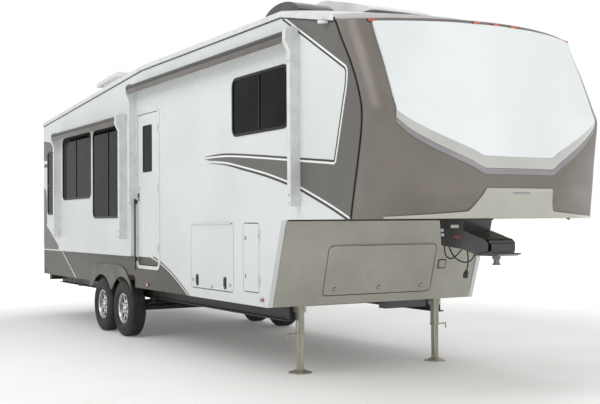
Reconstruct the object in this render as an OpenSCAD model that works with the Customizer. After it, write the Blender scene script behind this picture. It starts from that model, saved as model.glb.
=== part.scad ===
// Fifth wheel travel trailer with a raised front bedroom, tandem axles and slide-out rooms.
// Millimetres. +X is forward, +Y is the off-door side, +Z is up, and the ground is z = 0.
// Places along the body are stations: distances from the outer face of the rear wall.
// The origin is under the middle of the overall length, on the centreline.

/* [Body] */
// Outer width across the side walls
body_w = 2438; // [2300:2:2590]
// Raised front ahead of the basement front, up to the cap's seam at the roof
nose_l = 1212; // [1150:1:1300]
// Thickness of side, rear and basement walls
wall_t = 50; // [38:1:65]
// Lower edge of the side walls
skirt_z = 652; // [630:1:680]
// Line where the coloured lower side meets the upper side
belt_z = 1038; // [1000:1:1080]
// Underside of the raised front deck
deck_z = 1473; // [1465:1:1500]
// Thickness of the raised front deck
deck_t = 87; // [60:1:110]
// Top of the main floor
floor_z = 905; // [880:1:925]
// Thickness of the basement floor
basement_floor_t = 52; // [40:1:54]
// Station of the bulkhead between the main floor and the basement
bulkhead_s = 5500; // [5200:10:5700]

/* [Roof] */
// Top of the side wall at the rear
eave_rear_z = 3028; // [2960:1:3100]
// Top of the side wall along the level stretch
eave_z = 3335; // [3320:1:3400]
// Station where the rear slope ends
bend_s = 4441; // [4300:1:5000]
// Length of the roof's front slope
front_slope_l = 915; // [700:1:960]
// Top of the side wall at the front cap
cap_top_z = 3142; // [3130:1:3180]
// Thickness of the roof at its side edges
roof_edge = 45; // [30:1:60]
// Extra height of the roof along its centreline
roof_crown = 80; // [40:1:110]

/* [Front cap] */
// Wall thickness of the moulded cap
cap_t = 40; // [25:1:45]
// Half width at which the cap's front turns into its corner
cap_corner_y = 1126; // [1100:1:1130]
// Depth of the cap's rounded corner along X
cap_corner_x = 185; // [150:1:200]
// How far the upper nose panel stands out
nose_panel_t = 24; // [12:1:28]
// How far the lower chin panel stands out
chin_panel_t = 14; // [6:1:18]

/* [Basement front] */
// Station of the basement front at its lower edge
basement_s = 7705; // [7690:1:7760]
// Forward lean of the basement front, in degrees
rake = 16; // [12:0.5:17]
// Radius where the basement front meets the deck
basement_r = 70; // [40:1:90]
// Half width of the front hatch
hatch_half_w = 635; // [500:1:700]
// Lower edge of the front hatch above the wall's lower edge, along the slope
hatch_z0 = 95; // [80:1:140]
// Height of the front hatch along the slope
hatch_h = 490; // [400:1:520]

/* [Doors] */
// Gap round each hinged door
door_gap = 9; // [8:1:12]
// Thickness of each hinged door
door_t = 40; // [30:1:45]
// Distance of the hinge pins from the wall's outer face
hinge_out = 10; // [9:1:12]
// Radius of the hinge barrels
hinge_r = 8; // [6:1:8]
// Length of one hinge
hinge_l = 100; // [80:1:140]
// Station of the entry door's rear edge
entry_s = 4299; // [4299:1:4330]
// Width of the entry door
entry_w = 662; // [610:1:700]
// Lower edge of the entry door
entry_z = 945; // [940:1:980]
// Height of the entry door
entry_h = 1825; // [1780:1:1850]
// Width of the flat frame round the entry doorway
entry_frame_w = 42; // [25:1:44]
// Length of the assist handle beside the entry door
handle_l = 880; // [700:10:900]

/* [Slide-outs] */
// Station of the door-side room's rear edge
slide_s0 = 990; // [980:1:1010]
// Station of the door-side room's front edge
slide_s1 = 4165; // [4120:1:4165]
// Station of the off-door room's rear edge
off_slide_s0 = 1250; // [1200:1:1300]
// Station of the off-door room's front edge
off_slide_s1 = 4550; // [4300:1:4700]
// Upper edge of both rooms' outer faces
slide_top = 2860; // [2840:1:2880]
// How far the outer flange overlaps the side wall
slide_lap = 50; // [40:1:60]
// How far the outer face stands out of the side wall
slide_out = 51; // [40:1:60]
// Thickness of the sliding rooms' walls
slide_wall = 40; // [30:1:45]
// Depth of the sliding rooms inside the side wall
slide_depth = 850; // [800:1:900]
// Gap between a sliding room and its opening
slide_gap = 10; // [8:1:14]

/* [Running gear] */
// Outer diameter of the tyres
tyre_d = 716; // [700:1:730]
// Width of the tyres
tyre_w = 225; // [205:1:230]
// Diameter of the wheel rims at the bead
rim_d = 381; // [365:1:390]
// Outer tyre faces across the axle
track_out = 2466; // [2450:1:2480]
// Station midway between the axles
axle_mid_s = 3300; // [3290:1:3310]
// Distance between the axles
axle_gap = 810; // [800:1:840]
// Diameter of the axle tubes
axle_d = 76; // [60:1:90]
// Height of the chassis rails
rail_h = 200; // [180:1:230]
// Width of the rails' flanges
rail_w = 90; // [70:1:100]
// Half distance between the rails' centres
rail_y = 905; // [880:1:915]

/* [Landing gear] */
// Station of the landing legs
leg_s = 7590; // [7560:1:7600]
// Half distance between the landing legs
leg_y = 809; // [790:1:830]
// Width of the legs' upper tubes
leg_w = 62; // [56:1:76]
// Diameter of the foot pads
foot_d = 228; // [200:1:260]

/* [Pin box] */
// Pin box's rear plate, ahead of the cap's seam at the roof
pin_box_ahead = 18; // [8:1:28]
// Half width of the pin box
pin_box_y = 150; // [140:1:170]
// Thickness of the pin box's plates
pin_plate = 8; // [6:1:12]
// Underside of the coupling plate
coupling_z = 1160; // [1160:1:1165]
// Diameter of the kingpin's neck
kingpin_d = 50.8; // [50:0.1:51]
// Diameter of the kingpin's collar and head
kingpin_head_d = 71.1; // [70:0.1:73]

/* [Awnings] */
// Radius of the rolled awnings
roller_r = 42; // [36:1:48]
// Height of the patio awning's roller
patio_roller_z = 3110; // [3090:1:3130]
// Depth of the slide-out awnings' rollers below the rooms' upper edges
slide_roller_drop = 103; // [90:1:120]
// Width of the awning arms
arm_w = 60; // [50:1:64]
// How far the awning arms stand out
arm_out = 100; // [80:1:110]

/* [Roof units] */
// Height of the air conditioners above the roof
ac_h = 242; // [220:1:280]
// Length of the air conditioners
ac_l = 1090; // [900:1:1120]
// Width of the air conditioners
ac_w = 700; // [600:1:760]

/* [Hidden] */
$fn = 48;

half_w = body_w / 2;
half_in = half_w - wall_t;
main_l = basement_s + nose_l;
peak_s = main_l - front_slope_l;
slide_roller_z = slide_top - slide_roller_drop;
bumper_reach = 130;
bumper_h = 102;
bumper_half = 1085;
bumper_wall = 5;
bumper_z = 548;
// Height at which the cap's top skin starts to lie over the side walls
cap_lip_z = cap_top_z - cap_t - 24;
lip_gap = 0.3;
// Cap sections from the deck up: height, then distances ahead of the cap's top seam
// at the seam, at the corner and on the centreline
CAP = [
    [deck_z, 242, 547, 780],
    [1600, 270, 560, 850],
    [1720, 300, 575, 905],
    [1850, 332, 590, 907],
    [1970, 362, 602, 886],
    [2160, 402, 628, 838],
    [2320, 416, 646, 796],
    [2430, 397, 602, 768],
    [2600, 335, 528, 724],
    [2780, 239, 444, 678],
    [2960, 122, 350, 631],
    [cap_lip_z, 54, 297, 604]];
// The same distances at the cap's top edge
CAP_EDGE = [20, 273, 593];
band_t = 6;
cap_nose = max([for (r = CAP) r[3]]) + band_t;
cap_bow = 2.2;
rear_x = (bumper_reach - main_l - cap_nose) / 2;
cap_x = rear_x + main_l;
front_fall = (eave_z - cap_top_z) / (main_l - peak_s);
rail_top = floor_z - 205;
basement_floor_z = rail_top + basement_floor_t;
hub_z = tyre_d / 2;
wheel_y = (track_out - tyre_w) / 2;
arch_w = 455;
arch_h = 406;
slide_open_z0 = belt_z + slide_lap;
slide_open_z1 = slide_top - slide_lap;
pane_t = 8;
frame_w = 28;
frame_out = 8;
hinge_play = 0.3;

// Windows of the fixed walls: first place, lower edge, last place, upper edge, corner radius
REAR_SIDE_WINDOW = [245, 1616, 720, 2554, 45];
BEDROOM_WINDOW = [main_l - 1922, 2330, main_l - 812, 2860, 60];
DOOR_SIDE_WINDOWS = [REAR_SIDE_WINDOW, BEDROOM_WINDOW];
OFF_SIDE_WINDOWS = [REAR_SIDE_WINDOW, [5300, 1950, 6150, 2560, 60], BEDROOM_WINDOW];
REAR_WINDOWS = [[-700, 1750, 700, 2400, 60]];
// Windows of the sliding rooms, in the same form
SLIDE_WINDOWS = [
    [1267, 1825, 2555, 2690, 60],
    [2707, 1545, 3777, 2685, 60]];
OFF_SLIDE_WINDOWS = [[1700, 1850, 2750, 2560, 60]];
// Bars of the windows: first place, lower end, last place, upper end
bar_w = 18;
SIDE_BARS = [
    [(BEDROOM_WINDOW[0] + BEDROOM_WINDOW[2]) / 2, BEDROOM_WINDOW[1],
        (BEDROOM_WINDOW[0] + BEDROOM_WINDOW[2]) / 2 + bar_w, BEDROOM_WINDOW[3]],
    [REAR_SIDE_WINDOW[0], 2041, REAR_SIDE_WINDOW[2], 2041 + bar_w]];
SLIDE_BARS = [
    [1902, SLIDE_WINDOWS[0][1], 1902 + bar_w, SLIDE_WINDOWS[0][3]],
    [3310, SLIDE_WINDOWS[1][1], 3310 + bar_w, SLIDE_WINDOWS[1][3]]];
entry_top = entry_z + entry_h;
entry_front_s = entry_s + entry_w;
ENTRY_WINDOW = [entry_s + 151, entry_top - 704, entry_front_s - 198, entry_top - 135, 25];
// Compartment doors: rear edge, lower edge, front edge, upper edge, corner radius
bay_l = basement_s - entry_front_s;
BAGGAGE = [entry_front_s + bay_l * 0.3513, skirt_z + 105, entry_front_s + bay_l * 0.7329, deck_z - 37, 35];
UTILITY = [entry_front_s + bay_l * 0.816, skirt_z + 133, entry_front_s + bay_l * 0.9362, deck_z - 33, 25];
OFF_BAGGAGE = BAGGAGE;

function at(s) = rear_x + s;
function roof_line(s) =
    s < bend_s ? eave_rear_z + (eave_z - eave_rear_z) * s / bend_s :
    s < peak_s ? eave_z : eave_z - front_fall * (s - peak_s);
function crown(y) = roof_crown * (1 - pow(y / half_w, 2));
function roof_top(s, y) = roof_line(s) + roof_edge + crown(y);
function arc(cx, cy, rx, ry, a0, a1, n) =
    [for (i = [0:n]) let (a = a0 + (a1 - a0) * i / n) [cx + rx * cos(a), cy + ry * sin(a)]];
function rounded(x0, y0, x1, y1, r) = concat(
    arc(x1 - r, y1 - r, r, r, 0, 90, 4), arc(x0 + r, y1 - r, r, r, 90, 180, 4),
    arc(x0 + r, y0 + r, r, r, 180, 270, 4), arc(x1 - r, y0 + r, r, r, 270, 360, 4));
function grown(w, g) = [w[0] - g, w[1] - g, w[2] + g, w[3] + g, max(w[4] + g, 1)];

// Flat outlines
module slot(w) polygon(rounded(at(w[0]), w[1], at(w[2]), w[3], w[4]));
module slot_y(w) polygon(rounded(w[0], w[1], w[2], w[3], w[4]));
// An outline in X and Z made into a plate from y0 to y0 + t
module plate_y(y0, t) translate([0, y0 + t, 0]) rotate([90, 0, 0]) linear_extrude(t) children();
// An outline in Y and Z made into a plate from x0 to x0 + t
module plate_x(x0, t) translate([x0, 0, 0]) rotate([90, 0, 90]) linear_extrude(t) children();
module box(x0, y0, z0, x1, y1, z1) translate([x0, y0, z0]) cube([x1 - x0, y1 - y0, z1 - z0]);
// A plate on the outer face of one side: side is -1 for the door side and 1 for the other
module side_plate(side, face, t) plate_y(side < 0 ? -face : face - t, t) children();
module cyl_y(x, y0, z, r, l) translate([x, y0, z]) rotate([-90, 0, 0]) cylinder(r = r, h = l);
module cyl_x(x0, y, z, r, l) translate([x0, y, z]) rotate([0, 90, 0]) cylinder(r = r, h = l);

// A closed skin between an outer and an inner grid of points, both given row by row
module skin(outer, inner) {
    rows = len(outer);
    cols = len(outer[0]);
    n = rows * cols;
    function id(k, i, j) = k * n + i * cols + j;
    points = concat([for (r = outer) for (p = r) p], [for (r = inner) for (p = r) p]);
    faces = concat(
        [for (i = [0:rows - 2]) for (j = [0:cols - 2]) for (f = [0, 1]) f == 0 ?
            [id(0, i, j), id(0, i, j + 1), id(0, i + 1, j + 1)] :
            [id(0, i, j), id(0, i + 1, j + 1), id(0, i + 1, j)]],
        [for (i = [0:rows - 2]) for (j = [0:cols - 2]) for (f = [0, 1]) f == 0 ?
            [id(1, i, j), id(1, i + 1, j + 1), id(1, i, j + 1)] :
            [id(1, i, j), id(1, i + 1, j), id(1, i + 1, j + 1)]],
        [for (j = [0:cols - 2]) for (f = [0, 1]) f == 0 ?
            [id(0, 0, j), id(1, 0, j + 1), id(0, 0, j + 1)] :
            [id(0, 0, j), id(1, 0, j), id(1, 0, j + 1)]],
        [for (j = [0:cols - 2]) for (f = [0, 1]) f == 0 ?
            [id(0, rows - 1, j), id(0, rows - 1, j + 1), id(1, rows - 1, j + 1)] :
            [id(0, rows - 1, j), id(1, rows - 1, j + 1), id(1, rows - 1, j)]],
        [for (i = [0:rows - 2]) for (f = [0, 1]) f == 0 ?
            [id(0, i, 0), id(0, i + 1, 0), id(1, i + 1, 0)] :
            [id(0, i, 0), id(1, i + 1, 0), id(1, i, 0)]],
        [for (i = [0:rows - 2]) for (f = [0, 1]) f == 0 ?
            [id(0, i, cols - 1), id(1, i + 1, cols - 1), id(0, i + 1, cols - 1)] :
            [id(0, i, cols - 1), id(1, i, cols - 1), id(1, i + 1, cols - 1)]]);
    polyhedron(points, faces);
}

// Chassis: two I-section rails, crossmembers between them and tapered outriggers to the side walls
rail_s0 = -28;
rail_s1 = 7560;
rail_web = 10;
rail_flange = 12;
rail_notch = 0.5;
cross_gap = 820;
cross_w = 50;
cross_h = 110;
CROSS = [for (s = [250:cross_gap:rail_s1 - 100]) s];
module rail_section() {
    translate([-rail_w / 2, rail_top - rail_flange]) square([rail_w, rail_flange]);
    translate([-rail_w / 2, rail_top - rail_h]) square([rail_w, rail_flange]);
    translate([-rail_web / 2, rail_top - rail_h]) square([rail_web, rail_h]);
}
module chassis_rails() color("#1c1d1f")
    for (side = [-1, 1])
        plate_x(at(rail_s0), rail_s1 - rail_s0) translate([side * rail_y, 0]) rail_section();
cross_top = rail_top - rail_flange;
web_in = rail_y - rail_web / 2;
web_out = rail_y + rail_web / 2;
module chassis_crossmembers() color("#1c1d1f")
    for (s = CROSS) {
        box(at(s), -web_in, rail_top - cross_h, at(s) + cross_w, web_in, cross_top);
        if (abs(s - axle_mid_s) > axle_gap / 2 + arch_w)
            for (side = [-1, 1]) plate_x(at(s), cross_w / 2) polygon([
                [side * web_out, rail_top - cross_h], [side * web_out, cross_top],
                [side * half_in, cross_top], [side * half_in, cross_top - 30]]);
    }
// Spring hangers under the rails, with their pins; the middle pair carries both springs
spring_half = 325;
spring_y = rail_y;
leaf_t2 = 9;
leaf_drop = 22;
// Leaves of one pack from the top: half length
LEAVES = [325, 250, 180, 110];
seat_z = tyre_d / 2 + axle_d / 2 + 2;
hanger_pin_r = 8;
eye_z = seat_z + len(LEAVES) * leaf_t2 + leaf_drop + hanger_pin_r + 0.3;
hanger_w = 70;
module spring_hangers() color("#1c1d1f")
    for (side = [-1, 1]) for (k = [-1, 0, 1]) {
        x = at(axle_mid_s + k * (axle_gap / 2 + spring_half));
        for (f = [-1, 1]) plate_y(side * spring_y + f * 36 - 4, 8) polygon([
            [x - hanger_w, rail_top - rail_h], [x + hanger_w, rail_top - rail_h],
            [x + (k == 0 ? 105 : 26), eye_z - 22], [x - (k == 0 ? 105 : 26), eye_z - 22]]);
        for (d = k == 0 ? [-80, 80] : [0])
            cyl_y(x + d, side * spring_y - 40, eye_z, hanger_pin_r, 80);
    }

module rear_bumper() color("#1f2022") {
    difference() {
        box(at(-bumper_reach), -bumper_half, bumper_z, at(rail_s0), bumper_half, bumper_z + bumper_h);
        box(at(-bumper_reach) + bumper_wall, -bumper_half - 1, bumper_z + bumper_wall,
            at(rail_s0) - bumper_wall, bumper_half + 1, bumper_z + bumper_h - bumper_wall);
    }
    for (side = [-1, 1])
        box(at(-bumper_reach), side * bumper_half - bumper_wall, bumper_z,
            at(rail_s0), side * bumper_half + bumper_wall, bumper_z + bumper_h);
}

// Floors: the main floor over the axles and the lower basement floor ahead of the bulkhead
well_in = 985;
well_top = 800;
well_half = axle_gap / 2 + arch_w + 20;
module main_floor() color("#8d8a84") {
    difference() {
        box(at(wall_t), -half_in, rail_top, at(bulkhead_s), half_in, floor_z);
        for (side = [-1, 1])
            box(at(axle_mid_s) - well_half, min(side * well_in, side * (half_in + 1)), rail_top - 1,
                at(axle_mid_s) + well_half, max(side * well_in, side * (half_in + 1)), well_top);
    }
    box(at(bulkhead_s), -half_in, rail_top, at(bulkhead_s) + wall_t, half_in, deck_z);
    box(at(bulkhead_s) + wall_t, -half_in, rail_top, rake_x(rail_top) - wall_t / cos(rake), half_in,
        basement_floor_z);
}
function rake_x(z) = at(basement_s) + (z - skirt_z) * tan(rake);

module upper_deck() color("#a7a49c")
    translate([0, 0, deck_z]) linear_extrude(deck_t) polygon(concat(
        [[at(bulkhead_s), -half_in], [cap_x + CAP[1][1], -half_in]],
        [for (i = [1:2 * len(arc_as) + 2 * len(front_fs) + 1]) let (p = cap_row(0, cap_t)[i]) [p[0], p[1]]],
        [[cap_x + CAP[1][1], half_in], [at(bulkhead_s), half_in]]));

// Side walls follow the roof line, the cap's seam, the deck and the raked basement front
function seam() = concat(
    [[cap_x, cap_top_z], [cap_x, cap_lip_z - lip_gap], [cap_x + CAP[len(CAP) - 1][1], cap_lip_z - lip_gap]],
    [for (i = [len(CAP) - 2:-1:0]) [cap_x + CAP[i][1], CAP[i][0]]]);
function side_outline() = concat(
    [[at(0), skirt_z], [at(0), eave_rear_z], [at(bend_s), eave_z], [at(peak_s), eave_z]],
    seam(),
    arc(rake_x(deck_z) + basement_r * tan(45 + rake / 2), deck_z - basement_r,
        basement_r, basement_r, 90, 180 - rake, 4),
    [[at(basement_s), skirt_z]]);
module side_wall_flat(windows) difference() {
    polygon(side_outline());
    for (w = windows) slot(w);
    translate([at(axle_mid_s), 0]) polygon(rounded(-well_half, skirt_z - 60, well_half, well_top, 60));
}
module slide_opening(s0, s1)
    polygon(rounded(at(s0 + slide_lap), slide_open_z0, at(s1 - slide_lap), slide_open_z1, 12));
module doorway_open(w) slot(grown(w, door_gap));
entry_slot = [entry_s, entry_z, entry_front_s, entry_top, 40];

// Hinges: two outer barrels stay on the wall and the middle barrel turns with the door.
// Upright ones stand at x and start at each z in the list.
leaf_w = 34;
leaf_t = hinge_out - hinge_r + 4;
third = hinge_l / 3;
module hinge_upright(x, side, zs, on_door, to_door) {
    y = side * (half_w + hinge_out);
    for (z = zs) for (k = on_door ? [1] : [0, 2])
        translate([0, 0, z + k * third + hinge_play / 2]) {
            translate([x, y, 0]) cylinder(r = hinge_r, h = third - hinge_play);
            dir = on_door ? to_door : -to_door;
            box(min(x, x + dir * leaf_w), min(side * half_w, side * (half_w + leaf_t)), 0,
                max(x, x + dir * leaf_w), max(side * half_w, side * (half_w + leaf_t)), third - hinge_play);
        }
}
// A level hinge runs along nearly the whole edge; its middle third is the door's
level_leaf_w = 14;
level_inset = 40;
module hinge_level(z, side, w, on_door) {
    y = side * (half_w + hinge_out);
    l = (w[2] - w[0] - 2 * level_inset) / 3;
    for (k = on_door ? [1] : [0, 2])
        translate([at(w[0]) + level_inset + k * l + hinge_play / 2, 0, 0]) {
            translate([0, y, z]) rotate([0, 90, 0]) cylinder(r = hinge_r, h = l - hinge_play);
            box(0, min(side * half_w, side * (half_w + leaf_t)), on_door ? z - level_leaf_w : z,
                l - hinge_play, max(side * half_w, side * (half_w + leaf_t)), on_door ? z : z + level_leaf_w);
        }
}
entry_hinge_x = at(entry_front_s) + door_gap / 2;
entry_hinge_zs = [entry_z + 150, entry_z + entry_h / 2 - hinge_l / 2, entry_top - 150 - hinge_l];
utility_hinge_x = at(UTILITY[2]) + door_gap / 2;
utility_hinge_zs = [UTILITY[1] + 60, UTILITY[3] - 60 - hinge_l];
function baggage_hinge_z(w) = w[3] + door_gap / 2;

module door_side_wall() color("#d8dcdb") {
    side_plate(-1, half_w, wall_t) difference() {
        side_wall_flat(DOOR_SIDE_WINDOWS);
        slide_opening(slide_s0, slide_s1);
        doorway_open(entry_slot);
        doorway_open(BAGGAGE);
        doorway_open(UTILITY);
    }
    hinge_upright(entry_hinge_x, -1, entry_hinge_zs, false, -1);
    hinge_upright(utility_hinge_x, -1, utility_hinge_zs, false, -1);
    hinge_level(baggage_hinge_z(BAGGAGE), -1, BAGGAGE, false);
}
module off_door_wall() color("#d8dcdb") {
    side_plate(1, half_w, wall_t) difference() {
        side_wall_flat(OFF_SIDE_WINDOWS);
        slide_opening(off_slide_s0, off_slide_s1);
        doorway_open(OFF_BAGGAGE);
    }
    hinge_level(baggage_hinge_z(OFF_BAGGAGE), 1, OFF_BAGGAGE, false);
}
module rear_wall() color("#d8dcdb")
    plate_x(at(0), wall_t) difference() {
        polygon([[-half_in, skirt_z], [half_in, skirt_z], [half_in, eave_rear_z], [-half_in, eave_rear_z]]);
        for (w = REAR_WINDOWS) slot_y(w);
        for (side = [-1, 1]) translate([side * rail_y - rail_w / 2 - rail_notch, skirt_z - 1])
            square([rail_w + 2 * rail_notch, rail_top - skirt_z + 1 + rail_notch]);
    }

// Roof: one panel, level below and crowned above, along the three slopes of the walls
roof_ys = [for (i = [-6:6]) i * half_w / 6];
module roof() color("#eef0ef")
    skin([for (s = [0, bend_s, peak_s, main_l]) [for (y = roof_ys) [at(s), y, roof_top(s, y)]]],
        [for (s = [0, bend_s, peak_s, main_l]) [for (y = roof_ys) [at(s), y, roof_line(s)]]]);

// Front cap: rows of the table above, then the top drawn back to the roof
arc_as = [90, 68, 45, 22];
front_fs = [0.84, 0.64, 0.43, 0.21];
cap_arc_y = half_w - cap_corner_y;
arc_ry = cap_arc_y / (1 - sin(arc_as[3]));
function cap_curve(seam_d, corner, centre, t) = let (
        xe = corner - cap_corner_x,
        rx = cap_corner_x / cos(arc_as[3]),
        ye = half_w - arc_ry,
        side = concat(
            [[seam_d, half_w - t]],
            [for (a = arc_as) [xe + (rx - t) * cos(a), ye + (arc_ry - t) * sin(a)]],
            [for (f = front_fs) let (y = f * (ye + (arc_ry - t) * sin(arc_as[3])))
                [centre - t - (centre - corner) * pow(y / cap_corner_y, cap_bow), y]]))
    concat([for (p = side) [p[0], -p[1]]], [[centre - t, 0]],
        [for (i = [len(side) - 1:-1:0]) side[i]]);
function cap_row(i, t) = [for (p = cap_curve(CAP[i][1], CAP[i][2], CAP[i][3], t))
    [cap_x + p[0], p[1], CAP[i][0]]];
function cap_surface_z(d, y) = cap_top_z - front_fall * d + crown(y);
function cap_top_row(f, t) = let (row = cap_curve(CAP_EDGE[0], CAP_EDGE[1], CAP_EDGE[2], t), n = len(row) - 1)
    [for (i = [0:n]) let (p = row[i], edge = i == 0 || i == n) [
        cap_x + p[0] * f, edge ? sign(p[1]) * half_w : p[1],
        edge && t > 0 ? cap_lip_z : cap_surface_z(p[0] * f, p[1] * half_w / (half_w - t)) - t]];
function cap_grid(t) = concat([for (i = [0:len(CAP) - 1]) cap_row(i, t)],
    [for (f = [1, 0.5, 0]) cap_top_row(f, t)]);
module front_cap() color("#7a746e") skin(cap_grid(0), cap_grid(cap_t));

// Distance of the cap's front ahead of its top seam, at a height and a half width
function lerp_cap(z, k, i = 0) =
    i >= len(CAP) - 2 || z <= CAP[i + 1][0] ?
        CAP[i][k] + (CAP[i + 1][k] - CAP[i][k]) * (z - CAP[i][0]) / (CAP[i + 1][0] - CAP[i][0]) :
        lerp_cap(z, k, i + 1);
function cap_front(y, z) = cap_x + lerp_cap(z, 3)
    - (lerp_cap(z, 3) - lerp_cap(z, 2)) * pow(abs(y) / cap_corner_y, cap_bow);
// Nose panel: height and half width of each section
NOSE = [[1972, 334], [2030, 470], [2100, 632], [2160, 770], [2240, 940], [2320, 1060],
    [2430, 1066], [2600, 1066], [2780, 1066], [2960, 1066], [3020, 1060]];
panel_seat = 3.1;
panel_us = [for (i = [-8:8]) i / 8];
function panel_grid(table, out) = [for (r = table) [for (u = panel_us)
    [cap_front(u * r[1], r[0]) + out, u * r[1], r[0]]]];
module cap_nose_panel() color("#e3e7e8") skin(panel_grid(NOSE, nose_panel_t), panel_grid(NOSE, panel_seat));

// Bevel under the nose panel's lower edges and the light band below it.
// Half width, the panel's edge height, then how far the bevel and the band reach below it
BANDS = [[1066, 2318, 52, 88], [940, 2236, 68, 112], [855, 2196, 76, 124], [770, 2156, 82, 132],
    [632, 2096, 88, 138], [470, 2026, 93, 142], [345, 1968, 95, 143], [170, 1968, 95, 143]];
band_split = 2;
function negated(r) = concat([-r[0]], [for (i = [1:len(r) - 1]) r[i]]);
function centred(r) = concat([0], [for (i = [1:len(r) - 1]) r[i]]);
function both_sides(t) = concat([for (r = t) negated(r)], [centred(t[len(t) - 1])],
    [for (i = [len(t) - 1:-1:0]) t[i]]);
// One row of a strip: shares of the bevel's and the band's reach, a further drop, and the height out
function strip_row(e, out) = [for (r = both_sides(BANDS)) let (z = r[1] - e[0] * r[2] - e[1] * r[3] - e[2])
    [cap_front(r[0], z) + out, r[0], z]];
module strip(edges) skin([for (e = edges) strip_row(e, e[3])], [for (e = edges) strip_row(e, panel_seat)]);
module cap_bevel_bands() {
    color("#c6c5c1")
        strip([[1, 0, 0, band_t], [0.5, 0, 0, (band_t + nose_panel_t) / 2], [0, 0, 1, nose_panel_t]]);
    color("#a9a7ab") strip([[0, 1, 0, band_t], [0.5, 0.5, 0, band_t], [1, 0, band_split, band_t]]);
}

// Chin panel and the lip beside it: half width and upper edge, from the middle outwards
CHIN = [[1120, 1490], [900, 1500], [700, 1512], [520, 1524], [460, 1530], [430, 1560], [404, 1600],
    [372, 1660], [345, 1715], [172, 1715]];
chin_seat = 2.4;
chin_us = [0, 0.25, 0.5, 0.75, 1];
function chin_z(u, top) = deck_z + 1 + u * (top - deck_z - 1);
function chin_grid(out) = [for (u = chin_us) [for (c = both_sides(CHIN)) let (z = chin_z(u, c[1]))
    [cap_front(c[0], z) + out, c[0], z]]];
module cap_chin_panel() color("#b4b3a7") skin(chin_grid(chin_panel_t), chin_grid(chin_seat));

// Basement front, drawn upright and then leaned forward
module leaned() translate([at(basement_s), 0, skirt_z]) rotate([0, rake, 0]) children();
basement_l = (deck_z - skirt_z) / cos(rake);
HATCH = [-hatch_half_w, hatch_z0, hatch_half_w, hatch_z0 + hatch_h, 35];
hatch_hinge_h = HATCH[3] + door_gap / 2;
module hatch_hinge(on_door) {
    l = 2 * (hatch_half_w - level_inset) / 3;
    for (k = on_door ? [1] : [0, 2])
        translate([0, level_inset - hatch_half_w + k * l + hinge_play / 2, 0]) {
            cyl_y(hinge_out, 0, hatch_hinge_h, hinge_r, l - hinge_play);
            box(0, 0, on_door ? hatch_hinge_h - level_leaf_w : hatch_hinge_h,
                leaf_t, l - hinge_play, on_door ? hatch_hinge_h : hatch_hinge_h + level_leaf_w);
        }
}
module basement_front() color("#a3a29a")
    leaned() {
        plate_x(-wall_t, wall_t) difference() {
            translate([-half_in, 0]) square([2 * half_in, basement_l - wall_t * tan(rake)]);
            slot_y(grown(HATCH, door_gap));
        }
        hatch_hinge(false);
    }

// Frames round the openings, and the panes in them
module frame_ring(w) difference() {
    slot(grown(w, frame_w));
    slot(w);
}
module bar_flat(b) translate([at(b[0]), b[1]]) square([b[2] - b[0], b[3] - b[1]]);
module window_frames(side, face, windows, bars) color("#26282a") {
    for (w = windows) side_plate(side, face + frame_out, frame_out) frame_ring(w);
    for (b = bars) side_plate(side, face + frame_out, frame_out) bar_flat(b);
}
module opening_frames() {
    window_frames(-1, half_w, DOOR_SIDE_WINDOWS, SIDE_BARS);
    window_frames(1, half_w, OFF_SIDE_WINDOWS, SIDE_BARS);
    for (w = REAR_WINDOWS) plate_x(at(0) - frame_out, frame_out) difference() {
        slot_y(grown(w, frame_w));
        slot_y(w);
    }
}
module entry_frame() color("#dfe3e2")
    side_plate(-1, half_w + frame_out, frame_out) difference() {
        slot(grown(entry_slot, door_gap + entry_frame_w));
        slot(grown(entry_slot, door_gap));
        translate([entry_hinge_x - 1, 0]) for (z = entry_hinge_zs)
            translate([0, z - 4]) square([entry_frame_w * 2, hinge_l + 8]);
    }
// Assist handle: a flat bar on two feet, on the rear side of the entry doorway's frame
handle_w = 26;
handle_out = 44;
handle_t = 14;
handle_z = 870;
handle_foot = 45;
handle_foot_z = 985;
handle_s = entry_s - door_gap - entry_frame_w / 2 + 4;
module assist_handle() color("#151617") {
    top = handle_z + handle_l;
    face = -half_w - handle_out;
    back = face + handle_t;
    seat = -half_w - frame_out;
    plate_x(at(handle_s) - handle_w / 2, handle_w) polygon([
        [back, handle_z], [face + 6, handle_z], [face, handle_z + 10], [face, top - 10], [face + 6, top], [back, top],
        [back, top - 15], [seat, top - 15], [seat, top - 15 - handle_foot], [back, top - 15 - handle_foot],
        [back, handle_foot_z + handle_foot], [seat, handle_foot_z + handle_foot], [seat, handle_foot_z],
        [back, handle_foot_z]]);
}
module window_glass() color("#15181b") {
    for (w = DOOR_SIDE_WINDOWS) side_plate(-1, half_w, pane_t) slot(w);
    for (w = OFF_SIDE_WINDOWS) side_plate(1, half_w, pane_t) slot(w);
    for (w = REAR_WINDOWS) plate_x(at(0), pane_t) slot_y(w);
}

// Skirt panels with an arch over each wheel
skirt_t = 12;
function arch(s) = concat([[at(s) - arch_w, skirt_z - 80]], arc(at(s), hub_z, arch_w, arch_h, 180, 0, 16),
    [[at(s) + arch_w, skirt_z - 80]]);
module fender_skirts() color("#3a3b3c")
    for (side = [-1, 1]) side_plate(side, half_w + skirt_t, skirt_t) difference() {
        polygon([
            [at(2370), skirt_z - 68], [at(2500), well_top + 60], [at(2570), well_top + 104],
            [at(2700), well_top + 112], [at(3560), well_top + 112], [at(3720), well_top + 100],
            [at(3860), well_top + 40], [at(4000), well_top - 80], [at(4080), skirt_z - 68]]);
        for (k = [-1, 1]) polygon(arch(axle_mid_s + k * axle_gap / 2));
        translate([at(0), skirt_z - 200]) square([main_l, 132]);
    }

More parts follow.
